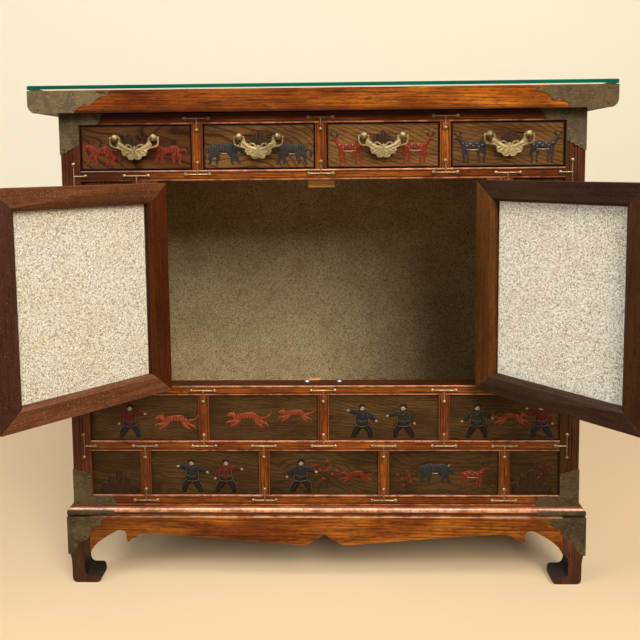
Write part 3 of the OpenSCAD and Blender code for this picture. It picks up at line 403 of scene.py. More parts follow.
# The stop blocks: the pale wood made paler and more orange, as painted light
paledBlockLook = shade(paleLook, dark=tone(150, 92, 40), mid=tone(228, 168, 96), light=tone(244, 194, 124))
print("wood looks set")


# Old sheet brass: olive-brown patina in clouds, fine file marks and dark specks
patina = {"cloud": 26, "fine": (160, 160, 420), "speck": 210, "clouded": (0.34, 0.68),
          "filed": (0.5, 0.72, 0.0, 0.65), "specked": (0.16, 0.06, 0.0, 0.5)}


def oldBrass(name, look):
    g = Graph(name)
    cloud = g.noise(g.coords, patina["cloud"], 5.0, 0.62, 0.6)
    fine = g.noise(g.place(g.coords, scale=patina["fine"]), 1.0, 3.0, 0.6, 0.8)
    speck = g.cells(g.coords, patina["speck"])
    colour = g.mix(g.range(cloud, *patina["clouded"]), look["dark"], look["mid"])
    colour = g.mix(g.range(fine, *patina["filed"]), colour, look["light"])
    colour = g.mix(g.range(speck, *patina["specked"]), colour, look["dark"])
    g.set(Base_Color=drifted(g, look, colour), Metallic=look["metal"])
    g.set(Roughness=g.range(cloud, 0.3, 0.7, look["rough"] + 0.12, look["rough"] - 0.06))
    height = g.weighed(fine, 0.5, cloud)
    if "stipple" in look:
        dots = g.cells(g.coords, look["stipple"])
        height = g.weighed(g.range(dots, 0.15, 0.5), 1.4, height)
    g.bump(height, look["relief"] * mm)
    return g.material


plateLook = {"dark": tone(72, 60, 40), "mid": tone(110, 95, 64), "light": tone(142, 124, 90),
             "metal": 0.5, "rough": 0.44, "relief": 0.2}
# The plates on the board's front: the same brass made paler, as painted light
paledBoardPlateLook = shade(plateLook, dark=tone(82, 68, 44), mid=tone(124, 105, 70), light=tone(158, 138, 102),
                       drift=((1.0, 1.0, 1.0, 1.0), (0.68, 0.64, 0.5, 1.0)))
strapLook = shade(plateLook, dark=tone(120, 94, 60), mid=tone(170, 142, 100), light=tone(216, 190, 150),
                  rough=0.36, relief=0.08)
pullLook = shade(plateLook, dark=tone(110, 92, 54), mid=tone(166, 144, 96), light=tone(204, 184, 136),
                 relief=0.16, stipple=900)


# Plain finishes: chrome, clear rubber, dark nails with the painted shade of the ball holes, and a dark crack
def plainFinish(name, colour, rough, scale, **sockets):
    g = Graph(name)
    cloud = g.noise(g.coords, scale, 4.0, 0.6)
    g.set(Base_Color=g.mix(g.range(cloud, 0.3, 0.7), colour, scaled(colour, 0.9)))
    g.set(Roughness=g.range(cloud, 0.3, 0.7, rough, rough + 0.06), **sockets)
    return g.material


# Printed paper: cream, with thin brown squiggles where warped noise crosses its middle level
paperLook = {"cream": tone(255, 254, 240), "ink": tone(118, 86, 40), "fleck": tone(250, 241, 212),
             "scale": 490, "width": 0.04, "soft": 0.012, "relief": 0.03}
# The lining inside the case: the same paper darkened, as painted shade
shadedInsideLook = shade(paperLook, cream=tone(226, 208, 164), ink=tone(96, 72, 38), fleck=tone(196, 172, 132),
                   scale=480, width=0.045)


def paper(name, look):
    g = Graph(name)
    warp = g.noise(g.coords, look["scale"] * 0.5, 2.0, 0.5)
    shift = g.join(g.times(warp, 6 * mm), 0.0, g.times(warp, 5 * mm))
    field = g.noise(g.moved(g.coords, shift), look["scale"], 1.0, 0.5, 0.8)
    line = g.absolute(g.minus(field, 0.5))
    ink = g.range(line, look["width"] + look["soft"], look["width"])
    patch = g.noise(g.coords, 14.0, 4.0, 0.65)
    base = g.mix(g.range(patch, 0.35, 0.7, 0.0, 0.6), look["cream"], look["fleck"])
    g.set(Base_Color=g.mix(ink, base, look["ink"]), Roughness=0.85, Specular_IOR_Level=0.2)
    g.bump(g.plus(line, patch), look["relief"] * mm)
    return g.material


# Sheet glass: clear on its faces and deep green in its thickness, where the sheet is seen edge on
glassLook = {"edge": tone(0, 84, 62), "pale": tone(10, 120, 88), "face": tone(206, 228, 216), "seen": 0.07,
             "rim": 0.3 * mm, "rough": 0.04}


def sheetGlass(name, look):
    g = Graph(name)
    edge = g.math("LESS_THAN", g.least(*inset(g, "glass_top")), look["rim"])
    cloud = g.noise(g.place(g.coords, scale=(3, 3, 60)), 1.0, 2.0, 0.5)
    green = g.mix(g.range(cloud, 0.35, 0.65, 0.0, 0.35), look["edge"], look["pale"])
    g.set(Base_Color=g.mix(edge, look["face"], green), Roughness=look["rough"])
    g.set(Alpha=g.math("MAXIMUM", edge, look["seen"]))
    return g.material


# Grain of the mitred and mixed pieces, from the frame's own sizes
def mouldingSides(g):
    return g.math("LESS_THAN", *inset(g, "base_moulding"))


def apronSides(g):  # the side aprons are 20 mm thick
    across = g.absolute(g.split(g.coords)[0])
    return g.math("GREATER_THAN", across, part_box("base_aprons")[1].x - 20.2 * mm)


doorPlan = {  # the hinge axis, the open angles, and x of a shut door's free and hinge sides
    "pin": (282.625 * mm, -213.5 * mm), "open": {"left": 135, "right": 133},
    "sides": (0.75 * mm, 282.125 * mm),
}


# Door coordinates with the door shut: turned back about its hinge axis
def doorShut(side):
    sign = -1 if side == "left" else 1
    angle = math.radians(doorPlan["open"][side]) * -sign
    pin = Vector((sign * doorPlan["pin"][0], doorPlan["pin"][1], 0))
    move = pin - Matrix.Rotation(angle, 3, "Z") @ pin

    def space(g):
        return g.place(g.coords, move=move, turn=(0, 0, angle))
    return space


def doorStiles(side):  # one where the mitred frame's stile lies, nought on its rails
    low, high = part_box(f"door_{side}_frame")

    def mask(g):
        s = g.split(doorShut(side)(g))
        across = g.absolute(s[0])
        free, hinge = doorPlan["sides"]
        nearStile = g.least(g.minus(hinge, across), g.minus(across, free))
        nearRail = g.least(g.minus(s[2], low.z), g.minus(high.z, s[2]))
        return g.math("LESS_THAN", nearStile, nearRail)
    return mask


def doorGrain(side):
    def space(g):
        v = doorShut(side)(g)
        s = g.split(v)
        return g.mixVector(doorStiles(side)(g), v, g.join(s[2], s[1], s[0]))
    return space


def finish(name, material):
    slots = nodes[name].data.materials
    slots.clear()
    slots.append(material)


railX = wood("railWood", alongX, shade(railLook, edges=railEdges))
# The top and drawer rails: the rail wood darkened, more towards both ends, partly as painted shade; the band
# just under the board is a painted shadow of its overhang
shadedUpperRailLook = gained(shade(railLook, edges=railEdges, under=(821, 831, 0.88), ends=0.85), 0.8)
shadedUpperRailX = wood("shadedUpperRailWood", alongX, shadedUpperRailLook)
muntinLook = gained(shade(railLook, edges=muntinEdges, ends=0.55, rubbed=0.3), 0.98)
muntinZ = wood("muntinWood", alongZ, muntinLook)
blockX = wood("blockWood", alongX, paledBlockLook)
postZ = wood("postWood", alongZ, postLook)
sideY = wood("sideRailWood", alongY, postLook)
backX = wood("backWood", alongX, gained(postLook, 1.3))
backLook = gained(shade(footLook, figure=0.6, ring=0.009, sway=0.03, soot=None), 1.5)
backBoard = wood("backBoard", alongX, backLook)
panelElm = wood("panelElm", alongX, panelLook)
lowerElm = wood("lowerElm", alongX, gained(shade(panelLook, bay=0.95737), 0.8))
flankElm = wood("flankElm", alongZ, shade(elmLook, mid=panelLook["mid"], light=panelLook["light"]))
paleX = wood("paleWood", alongX, paleLook)
paleY = wood("paleSideWood", alongY, paleLook)
boardX = wood("boardWood", alongX, boardLook)
mouldingWood = wood("mouldingWood", byMask(mouldingSides, alongX, alongY), mouldingLook)
apronWood = wood("apronWood", byMask(apronSides, alongX, alongY), apronLook)
footZ = wood("footWood", alongZ, gained(footLook, 0.78))
plateBrass = oldBrass("plateBrass", plateLook)
paledBoardBrass = oldBrass("paledBoardBrass", paledBoardPlateLook)
strapBrass = oldBrass("strapBrass", strapLook)
pullBrass = oldBrass("pullBrass", pullLook)
linedPaper = paper("linedPaper", paperLook)
shadedInsidePaper = paper("shadedInsidePaper", shadedInsideLook)
chrome = plainFinish("chrome", tone(232, 232, 236), 0.2, 40, Metallic=0.6)
clearPad = plainFinish("clearPad", tone(226, 226, 220), 0.3, 90)
glassFace = sheetGlass("sheetGlass", glassLook)

finishes = {
    "top_board": boardX, "top_board_plates": paledBoardBrass, "front_posts": postZ, "rear_posts": postZ,
    "top_rail": shadedUpperRailX, "drawer_rail": shadedUpperRailX, "sill_rail": railX, "middle_rail": railX,
    "bottom_rail": railX, "drawer_muntins": muntinZ, "door_stiles": muntinZ, "panel_muntins": muntinZ,
    "upper_panels": panelElm, "lower_panels": lowerElm, "flank_panels": flankElm, "side_rails": sideY,
    "side_panels": flankElm, "back_rails": backX, "back_panels": backBoard, "bottom_board": paleX,
    "drawer_deck": paleX, "paper_lining": shadedInsidePaper, "base_moulding": mouldingWood,
    "base_aprons": apronWood, "feet": footZ, "body_corner_plates": plateBrass, "foot_plates": plateBrass,
    "rail_straps": strapBrass, "jamb_hinges": strapBrass, "door_stop_blocks": blockX,
    "ball_catches": chrome, "glass_pads": clearPad, "glass_top": glassFace,
}
for name, material in finishes.items():
    finish(name, material)
leafLooks = {  # across: side, and the stain of its rails, its free stile and its hinge stile
    "left": shade(doorLook, across=("left", (1.1, 1.08, 0.84, 1.0), tone(186, 184, 196), tone(180, 140, 50))),
    "right": shade(rightDoorLook, across=("right", tone(180, 179, 178), tone(200, 180, 135),
                                          tone(255, 226, 136))),
}
for side, leafLook in leafLooks.items():
    finish(f"door_{side}_frame", wood(f"{side}DoorWood", doorGrain(side), leafLook))
    finish(f"door_{side}_panel", wood(f"{side}DoorPanel", doorShut(side), shade(panelLook, bay=0.0)))
    finish(f"door_{side}_lining", linedPaper)
    finish(f"door_{side}_hinges", strapBrass)
    finish(f"door_{side}_knob", pullBrass)
for i, drawerElm in enumerate(drawerElms, 1):
    finish(f"drawer_{i}_front", wood(f"drawerElm{i}", alongX, shade(drawerElm, rims=f"drawer_{i}_front")))
    finish(f"drawer_{i}_box", paleY)
    finish(f"drawer_{i}_pull_posts", pullBrass)
    finish(f"drawer_{i}_pull", pullBrass)
print("finishes on the frame's nodes")


# Floor, wall and lights
class WorldGraph(Graph):
    def __init__(self, name):
        self.world = bpy.data.worlds.new(name)
        self.world.use_nodes = True
        self.tree = self.world.node_tree
        self.shader = self.tree.nodes["Background"]


studio = {
    "floor": tone(214, 189, 153), "wall": tone(219, 211, 188), "wallY": 1.25, "reach": 6.0, "wallTop": 5.0,
    "bend": 0.25, "world": 0.12, "gloss": 0.05, "sky": 0.9, "bounce": tone(150, 124, 98), "glow": 0.3,
    "shade": (0.09, 0.03), "aim": (0, -0.2, 0.5), "air": (1.0, 0.97, 0.93, 1.0),
    "lamps": (  # name, place, width, height, power, colour, what sees it
        ("keyLamp", (1.34, -3.3, 2.8), 2.2, 2.2, 150, (1.0, 0.93, 0.82), "diffuse"),
        ("ceilingLamp", (0.05, -1.3, 3.0), 3.8, 0.7, 46, (1.0, 0.95, 0.88), "diffuse"),
        ("shineLamp", (0.05, -1.7, 2.9), 4.2, 2.0, 300, (1.0, 0.95, 0.9), "gloss"),
        ("sideLamp", (-3.2, -1.7, 1.3), 1.4, 1.4, 55, (0.86, 0.93, 1.0), "diffuse"),
    ),
}


def addStage(v):
    # profile in (y, z): floor, a quarter circle of radius bend, then the wall, swept along x
    angle = np.linspace(0, math.pi / 2, 9)
    y = np.concatenate(([-v["reach"]], v["wallY"] - v["bend"] + v["bend"] * np.sin(angle), [v["wallY"]]))
    z = np.concatenate(([0.0], v["bend"] * (1 - np.cos(angle)), [v["wallTop"]]))
    x = np.array([-v["reach"], v["reach"]])
    points = np.array([[[a, b, c] for a in x] for b, c in zip(y, z)]).reshape(-1, 3)
    faces = gridFaces(len(y), 2, False)
    g = Graph("stageSurface")
    height = g.split(g.coords)[2]
    pale = g.mix(g.range(height, 0.0, v["bend"]), v["floor"], v["wall"])
    seen = g.add("LightPath").outputs["Is Camera Ray"]
    g.set(Base_Color=g.mix(seen, v["bounce"], pale), Roughness=0.9, Specular_IOR_Level=0.1)
    under = g.least(*inset(g, "base_moulding"))
    lit = g.range(under, *v["shade"], 0.0, v["glow"])  # the floor's glow is left out under the stand, a painted shadow there
    g.set(Emission_Color=pale, Emission_Strength=g.times(seen, lit))
    obj = addMesh("stageSweep", points, faces, [g.material])
    for name, place, width, height, power, colour, seenBy in v["lamps"]:
        lamp = bpy.data.lights.new(name, "AREA")
        lamp.shape = "RECTANGLE"
        lamp.size, lamp.size_y, lamp.energy, lamp.color = width, height, power, colour
        lampObj = bpy.data.objects.new(name, lamp)
        turn = (Vector(v["aim"]) - Vector(place)).to_track_quat("-Z", "Y")
        lampObj.matrix_world = Matrix.Translation(place) @ turn.to_matrix().to_4x4()
        lampObj.visible_glossy = seenBy == "gloss"
        lampObj.visible_diffuse = seenBy == "diffuse"
        bpy.context.scene.collection.objects.link(lampObj)
    g = WorldGraph("studioWorld")
    rays = g.add("LightPath").outputs
    lit = g.add("MapRange", {"Value": rays["Is Glossy Ray"], "To Min": v["world"], "To Max": v["gloss"]})
    shown = g.add("MapRange", {"Value": rays["Is Camera Ray"], "To Min": lit.outputs[0], "To Max": v["sky"]})
    g.set(Color=v["air"], Strength=shown.outputs[0])
    bpy.context.scene.world = g.world


# Meshes
def gridFaces(rows, cols, wrap):
    i, j = np.meshgrid(np.arange(rows - 1), np.arange(cols if wrap else cols - 1), indexing="ij")
    n = (j + 1) % cols
    return np.stack([i * cols + j, i * cols + n, (i + 1) * cols + n, (i + 1) * cols + j], -1).reshape(-1, 4)


def addMesh(name, points, faces, materials, marks=None):
    mesh = bpy.data.meshes.new(name)
    mesh.from_pydata(np.asarray(points, float).tolist(), [], faces.tolist())
    for material in materials:
        mesh.materials.append(material)
    if marks is not None:
        mesh.polygons.foreach_set("material_index", np.asarray(marks, np.int32))
    mesh.polygons.foreach_set("use_smooth", np.full(len(mesh.polygons), True))
    mesh.update()
    obj = bpy.data.objects.new(name, mesh)
    bpy.context.scene.collection.objects.link(obj)
    return obj


# A smooth curve through the given values, worked out at count even steps
def smoothed(values, count):
    values = np.asarray(values, float)
    ends = np.concatenate((2 * values[:1] - values[1:2], values, 2 * values[-1:] - values[-2:-1]))
    t = np.linspace(0, len(values) - 1, count)
    i = np.minimum(t.astype(int), len(values) - 2)
    u = (t - i).reshape(-1, *[1] * (values.ndim - 1))
    a, b, c, d = ends[i], ends[i + 1], ends[i + 2], ends[i + 3]
    return b + 0.5 * u * (c - a + u * (2 * a - 5 * b + 4 * c - d + u * (3 * (b - c) + d - a)))


# Stroke: a flattened tube in the plane that faces the front, in mm, with x across and z up.
# point = curve(t) + width(t)/2 cos(a) to its side + lift/2 sin(a) forwards, and each end is
# carried on by a quarter circle, so that it closes in a round tip
def stroke(points, widths, lift, mark=0, steps=4, sides=8):
    count = steps * (len(points) - 1) + 1
    line = smoothed(points, count)
    width = np.maximum(smoothed(widths, count), 0.2)
    run = np.gradient(line, axis=0)
    run /= np.linalg.norm(run, axis=1, keepdims=True)
    cap = np.radians([0, 32, 62])
    start = line[0] - run[0] * (width[0] / 2 * np.cos(cap))[:, None]
    end = line[-1] + run[-1] * (width[-1] / 2 * np.cos(cap[::-1]))[:, None]
    taper = np.concatenate((np.sin(cap), np.ones(count), np.sin(cap[::-1])))
    line = np.concatenate((start, line, end))
    run = np.pad(run, ((3, 3), (0, 0)), "edge")
    width = np.pad(width, 3, "edge") * taper
    a = np.linspace(0, 2 * math.pi, sides, endpoint=False)
    side = np.stack((-run[:, 1], run[:, 0]), 1)[:, None] * np.cos(a)[None, :, None]
    flat = line[:, None] + side * width[:, None, None] / 2
    depth = -taper[:, None] * lift / 2 * np.sin(a)
    solid = np.stack((flat[..., 0], depth, flat[..., 1]), -1).reshape(-1, 3)
    return solid, gridFaces(len(line), sides, True), mark


# Domes: half balls that bulge towards the front, one at each place, in mm
def domes(places, radius, height, mark=0, sides=12):
    rise = np.radians([0, 0, 0, 25, 50, 72, 90])
    r = radius * np.cos(rise) * (np.arange(7) > 0)
    y = np.where(np.arange(7) < 2, 0.3, -height * np.sin(rise))
    a = np.linspace(0, 2 * math.pi, sides, endpoint=False)
    ring = np.stack((np.outer(r, np.cos(a)), np.outer(y, np.ones(sides)), np.outer(r, np.sin(a))), -1)
    places = np.asarray(places, float)
    solid = (places[:, None] + ring.reshape(1, -1, 3)).reshape(-1, 3)
    faces = gridFaces(7, sides, True)
    shift = np.arange(len(places))[:, None, None] * 7 * sides
    return solid, (faces[None] + shift).reshape(-1, 4), mark


# The same part turned in the plane that faces the front, mirrored, scaled and moved to its place
def placed(part, at, turn=0.0, flip=1, grow=1.0):
    points, faces, mark = part
    c, s = math.cos(math.radians(turn)), math.sin(math.radians(turn))
    x, y, z = (points * grow).T
    moved = (at[0] + flip * (c * x - s * z), at[1] + y / grow, at[2] + s * x + c * z)
    return np.stack(moved, -1), faces, mark


# One closed mesh from several parts, in metres, which rides on a body
def addPiece(name, parts, materials, body):
    shifts = np.cumsum([0] + [len(part[0]) for part in parts])
    points = np.concatenate([part[0] for part in parts]) * mm
    faces = np.concatenate([part[1] + shift for part, shift in zip(parts, shifts)])
    marks = np.concatenate([np.full(len(part[1]), part[2]) for part in parts])
    obj = addMesh(name, points, faces, materials, marks)
    shape = bmesh.new()
    shape.from_mesh(obj.data)
    bmesh.ops.remove_doubles(shape, verts=shape.verts, dist=1e-7)
    bmesh.ops.recalc_face_normals(shape, faces=shape.faces)
    shape.to_mesh(obj.data)
    shape.free()
    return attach(obj, body)


# Soft edges on the frame's own nodes: their loose triangles are welded, then bevelled
softEdges = {  # bevel widths in mm
    "top_board": 1.4, "base_aprons": 1.2, "feet": 1.4, "rear_posts": 1.0, "door_stop_blocks": 0.8,
    "door_left_frame": 0.8, "door_right_frame": 0.8, **{f"drawer_{i}_front": 0.8 for i in range(1, 5)},
    **{f"drawer_{i}_pull": 0.5 for i in range(1, 5)}, "top_board_plates": 0.25, "body_corner_plates": 0.25,
    "foot_plates": 0.25,
}
apronEdgeLook = gained(shade(apronLook, fibre=0.4), 2.6)
wornAndLitEdges = {  # wood of the narrow faces that the bevel makes, made pale: partly wear, partly a painted highlight
    "top_board": wood("boardEdge", alongX, gained(boardLook, 1.3)),
    "base_aprons": wood("apronEdge", byMask(apronSides, alongX, alongY), apronEdgeLook),
    "feet": wood("footEdge", alongZ, gained(footLook, 2.2)),
    "door_left_frame": wood("leftDoorEdge", doorGrain("left"), gained(leafLooks["left"], 1.35)),
    "door_right_frame": wood("rightDoorEdge", doorGrain("right"), gained(leafLooks["right"], 1.35)),
}
for name, width in softEdges.items():
    weld = nodes[name].modifiers.new("weld", "WELD")
    weld.merge_threshold = 0.02 * mm
    bevel = nodes[name].modifiers.new("bevel", "BEVEL")
    bevel.width = width * mm
    bevel.segments = 2
    bevel.limit_method = "ANGLE"
    bevel.angle_limit = math.radians(40)
    if name in wornAndLitEdges:
        nodes[name].data.materials.append(wornAndLitEdges[name])
        bevel.material = 1
print("edges softened on", len(softEdges), "nodes")


# T-shaped straps: a rod with a knob at each end, a stem with a knob, and a dark nail low in each knob, partly
# painted shade
strapPlan = {"half": 20.6, "stem": 20.2, "rod": 2.7, "waist": 2.3, "neck": 5, "lift": 3.2, "sunk": 0.3,
             "knob": 3.5, "knobRise": 3.1, "nail": 0.9, "nailRise": 0.5, "nailDrop": 1.3}
darkNailAndHoleShade = plainFinish("darkNailAndHoleShade", tone(58, 42, 26), 0.45, 300, Metallic=0.6)


def addStraps(v):
    half, low, rod, waist, neck = v["half"], -v["stem"], v["rod"], v["waist"], v["neck"]
    ends = ((-half, 0), (half, 0), (0, low))
    bar = stroke([(-half, 0), (neck - half, 0), (0, 0), (half - neck, 0), (half, 0)],
                 [rod, waist, rod, waist, rod], v["lift"], steps=3)
    stem = stroke([(0, 0), (0, low + neck), (0, low)], [rod, waist, rod], v["lift"], steps=3)
    knobs = domes([(x, 0, z) for x, z in ends], v["knob"], v["knobRise"], 0, 16)
    nails = domes([(x, v["nailRise"] / 2 - v["knobRise"], z - v["nailDrop"]) for x, z in ends],
                  v["nail"], v["nailRise"], 1)
    upper, lower = case["muntins"], case["lowerMuntins"]
    rows = ((upper, "topRail", 0), (upper, "drawerStraps", 180), (upper, "sillRail", 0),
            (upper, "middleRail", 180), (lower, "middleRail", 0), (lower, "bottomRail", 180),
            (lower[::3], "drawerRail", 0), (lower[::3], "sillRail", 180))
    spots = [(x, case[rail], turn) for row, rail, turn in rows for x in row]
    spots += [(side * case["postMiddle"], case[rail], -90 * side)
              for rail in ("drawerRail", "sillRail", "middleRail") for side in (-1, 1)]
    parts = [placed(part, (x, case["front"] - v["sunk"], z), turn)
             for x, z, turn in spots for part in (bar, stem, knobs, nails)]
    straps = addPiece("strapRods", parts, [strapBrass, darkNailAndHoleShade], "body")
    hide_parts("rail_straps")
    print("straps:", len(spots))


addStraps(strapPlan)


# Nails of the sheet brass, each list measured from the plate's outer corner: inwards and up
nailPlan = {
    "radius": 1.5, "rise": 0.7, "sheet": 0.8, "boardFace": 18.8,
    "board": ((16, -6), (78, -6.5), (109, -23), (79, -29), (17, -32), (133, -5)),
    "upper": ((7, -8), (30, -8), (70, -9), (27, -50), (7, -62)),
    "lower": ((6, 6), (66, 8), (27, 50), (7, 60)),
    "foot": ((9, -10), (50, -8), (30, -36), (8, -58)),
}


def addNails(v):
    corners = {"board": (case["boardEnd"], case["front"] - v["boardFace"], case["boardTop"]),
               "upper": (case["halfWidth"], case["front"] - v["sheet"], case["railEdges"][-1]),
               "lower": (case["halfWidth"], case["front"] - v["sheet"], case["railEdges"][0]),
               "foot": (case["standEnd"], case["standFront"] - v["sheet"], case["legTop"])}
    places = [(side * (x - dx), y, z + dz) for key, (x, y, z) in corners.items()
              for dx, dz in v[key] for side in (-1, 1)]
    addPiece("plateNails", [domes(places, v["radius"], v["rise"])], [darkNailAndHoleShade], "body")
    print("plate nails:", len(places))


addNails(nailPlan)


# Raised work on a bat-shaped pull: rims along its outline, a head, wings and tail lobes
batRims = (
    ((3.2, -16.2), (6.2, -12.4), (11, -10.7), (14.4, -11.4), (17, -13), (22.4, -8.2), (25.2, -4),
     (25.4, 0.6)),
    ((41.4, 0), (41.4, -6.5), (38.4, -12.8), (33.4, -15.4), (28.6, -16.4), (24, -18.8), (20.8, -21)),
    ((20.8, -21), (22.3, -24.4), (20.2, -26.4), (19.6, -29.6), (15.8, -30.1), (13.4, -30.8), (12.2, -30.4),
     (11, -34.6), (6, -36.8), (1.9, -35.8), (0.3, -33.6)),
    ((27, -5.4), (30, -11.8), (28.4, -15.8)),
)
batReliefs = (
    (((3.4, -22), (10, -20.6), (18, -16.6), (26, -10.6)), (4.6, 6.6, 6.0, 5.2), 1.2),
    (((3, -25.5), (5.4, -30.6), (6, -34)), (4.6, 6.4, 5.0), 1.2),
    (((10.5, -25), (15, -27.4)), (5.6, 4.6), 1.1),
    (((15.5, -21.2), (19.4, -23.6)), (4.8, 3.6), 1.1),
)
batHead = (((0, -14.8), (0.2, -19), (0.3, -24.5)), (2.2, 4.8, 2.4), 2.4)


def addBatRelief(i, x):
    at = (x, case["pullFace"] + 0.15, case["pullHeight"])
    halves = [stroke(points, [1.1] * len(points), 1.2, steps=3, sides=6) for points in batRims]
    halves += [stroke(*relief, steps=4, sides=10) for relief in batReliefs]
    parts = [placed(part, at, flip=flip) for flip in (-1, 1) for part in halves]
    parts.append(placed(stroke(*batHead, steps=4, sides=10), at))
    addPiece(f"pullRelief{i}", parts, [pullBrass], f"pull_{i}")
    # A dark disc on each ball stands in for its hole, as painted shade
    holeShades = domes([(x + side * case["pullSide"] - 2.3, case["pullFace"] - 4.4, case["pullHeight"] - 0.9)
                   for side in (-1, 1)], 1.2, 0.5)
    addPiece(f"ballHoles{i}", [holeShades], [darkNailAndHoleShade], f"drawer_{i}")


for i, x in enumerate(case["lowerMuntins"], 1):
    addBatRelief(i, x)
print("relief on the pulls")


# Painted figures, carved a little proud of the panels. Each stroke is a paint, a lift, a path
# and its widths, in mm, with the figure's feet at the origin and its head towards +x
paints = {
    "red": tone(134, 46, 22), "rust": tone(168, 78, 48), "stripe": tone(44, 20, 14),
    "maroon": tone(92, 30, 28), "navy": tone(32, 38, 44), "green": tone(36, 46, 32),
    "night": tone(42, 48, 50), "mist": tone(88, 94, 94), "pale": tone(180, 164, 134),
    "skin": tone(184, 158, 128), "hat": tone(28, 24, 20), "rock": tone(56, 36, 26),
    "rockEdge": tone(88, 60, 42), "line": tone(104, 98, 80),
}
paintOrder = list(paints)


def paint(name, colour):
    g = Graph(name)
    cloud = g.noise(g.coords, 190, 4.0, 0.6)
    worn = g.noise(g.coords, 420, 3.0, 0.6)
    base = g.mix(g.range(cloud, 0.36, 0.66), scaled(colour, 0.6), colour)
    g.set(Base_Color=g.mix(g.range(worn, 0.54, 0.66, 0.1, 0.7), base, panelLook["mid"]))
    g.set(Roughness=g.range(cloud, 0.3, 0.7, 0.4, 0.55), Specular_IOR_Level=0.15)
    g.bump(cloud, 0.1 * mm)
    return g.material


paintFinishes = [paint(f"{name}Paint", paints[name]) for name in paintOrder]


def limbs(coat, widths, *paths):
    return [(coat, 1.5, path, widths[:len(path)]) for path in paths]


def standingCat(coat):
    body = [(coat, 1.8, ((-14, 18), (-8, 20), (1, 18.4), (8, 19), (11, 20)), (9, 11, 9.6, 10, 8)),
            (coat, 1.7, ((10, 21), (15, 24.6), (19, 23)), (8, 7, 4)),
            (coat, 1.3, ((13, 27), (12, 30)), (2.6, 1.4)),
            (coat, 1.3, ((-17, 19), (-23, 19), (-25, 12), (-24, 5)), (3, 2.4, 2, 1.6))]
    body += limbs(coat, (7, 4.4, 3, 2.2), ((-14, 15), (-17, 9), (-15, 4), (-18, 0.8)),
                  ((-9, 14), (-7, 9), (-9, 4), (-6.6, 0.8)), ((9, 16), (13, 11), (15, 5), (19, 2)),
                  ((6, 15), (7, 9), (5, 4), (8, 0.8)))
    return body + [("stripe", 2.5, ((x, 24), (x - 1.6, 19), (x - 0.4, 14)), (0.7, 1.1, 0.6))
                   for x in range(-15, 14, 4)]


def leapingCat(coat):
    body = [(coat, 1.8, ((-19, 13), (-11, 17), (1, 16.4), (11, 14.6)), (7.6, 10, 9, 9)),
            (coat, 1.7, ((12, 15.4), (18, 18.6), (23, 17.4)), (7.6, 6.6, 3.6)),
            (coat, 1.3, ((16.4, 20.6), (15, 23.6)), (2.6, 1.4)),
            (coat, 1.3, ((-21, 14), (-28, 14.6), (-34, 18), (-37, 23)), (3, 2.4, 2, 1.4))]
    body += limbs(coat, (6.6, 4, 2.8, 1.8), ((-19, 11.6), (-24, 7.6), (-29, 6), (-32, 2.6)),
                  ((-15, 11), (-18, 5.6), (-22, 3.4), (-24, 0.8)),
                  ((11, 11.6), (17, 8.6), (22, 8.6), (26, 6.6)), ((8, 11), (12, 6), (16, 4.4), (19, 1.4)))
    return body + [("stripe", 2.5, ((x, 20.6), (x - 1.6, 16.4), (x - 0.4, 12.4)), (0.7, 1.1, 0.6))
                   for x in range(-20, 13, 4)]


def spottedDeer(coat):
    body = [(coat, 1.8, ((-13, 20), (-6, 21.4), (3, 20.6), (9, 21.6)), (8, 9, 8, 7)),
            (coat, 1.7, ((9, 22), (13, 26.6), (15, 29.4)), (6.4, 4.6, 3.8)),
            (coat, 1.7, ((14.6, 30), (20, 28.4)), (4, 2.2)),
            (coat, 1.3, ((-16, 21), (-18.6, 22.6)), (2.4, 1.4)),
            ("pale", 1.8, ((-9, 16.2), (-2, 15.6), (5, 16)), (1, 1.2, 1))]
    body += [("hat", 1.5, path, (1.4, 1.2, 0.9)[:len(path)])
             for path in (((15, 31), (12.6, 34), (14, 38)), ((15.8, 31), (18.4, 34), (20, 38)),
                          ((12.8, 34), (10.4, 35.6)), ((18.2, 34), (21, 34.4)))]
    body += limbs(coat, (6.4, 3.4, 2.2, 1.8), ((-13, 17), (-15.6, 11), (-14, 6), (-15.4, 0.8)),
                  ((-9, 17), (-8, 11), (-9.6, 6), (-8.6, 0.8)), ((8, 18), (9.4, 11), (8.2, 6), (9, 0.8)),
                  ((5, 17.4), (5, 11), (3.8, 6), (4.6, 0.8)))
    spots = ((-13, 21.6), (-9.4, 19.6), (-6.4, 23), (-2.6, 20.4), (1, 22.8), (4.8, 20.4), (9.6, 23.6))
    return body + [("pale", 2.6, ((x, z), (x + 0.8, z + 0.2)), (1.4, 1.3)) for x, z in spots]


def shaggyOx(coat):
    body = [(coat, 1.9, ((-17, 19), (-9, 22), (1, 20.6), (10, 21.6), (14, 20)), (9, 12, 11, 12.4, 9)),
            (coat, 1.8, ((14, 21), (19.4, 19), (22.6, 15)), (8.6, 6.6, 4)),
            ("pale", 1.6, ((17.4, 24), (20, 26.6)), (1.4, 0.8)),
            (coat, 1.4, ((-20, 21), (-25, 17), (-25, 10)), (3, 2.4, 3.6)),
            ("pale", 2.7, ((-4, 13.8), (3, 14)), (1.2, 1.1))]
    body += limbs(coat, (8.4, 5.4, 3.6, 2.6), ((-15, 15), (-18, 9), (-18, 4), (-20, 0.8)),
                  ((-11, 15), (-8, 9), (-10, 4), (-9, 0.8)), ((8, 15), (10.6, 9), (9, 4), (10.6, 0.8)),
                  ((12, 16), (16, 9), (17, 4), (20, 1.6)))
    return body + [("mist", 2.8, ((x, 25), (x - 1.8, 20), (x - 1, 14.6)), (0.5, 0.7, 0.5))
                   for x in np.arange(-17, 15, 3.5)]


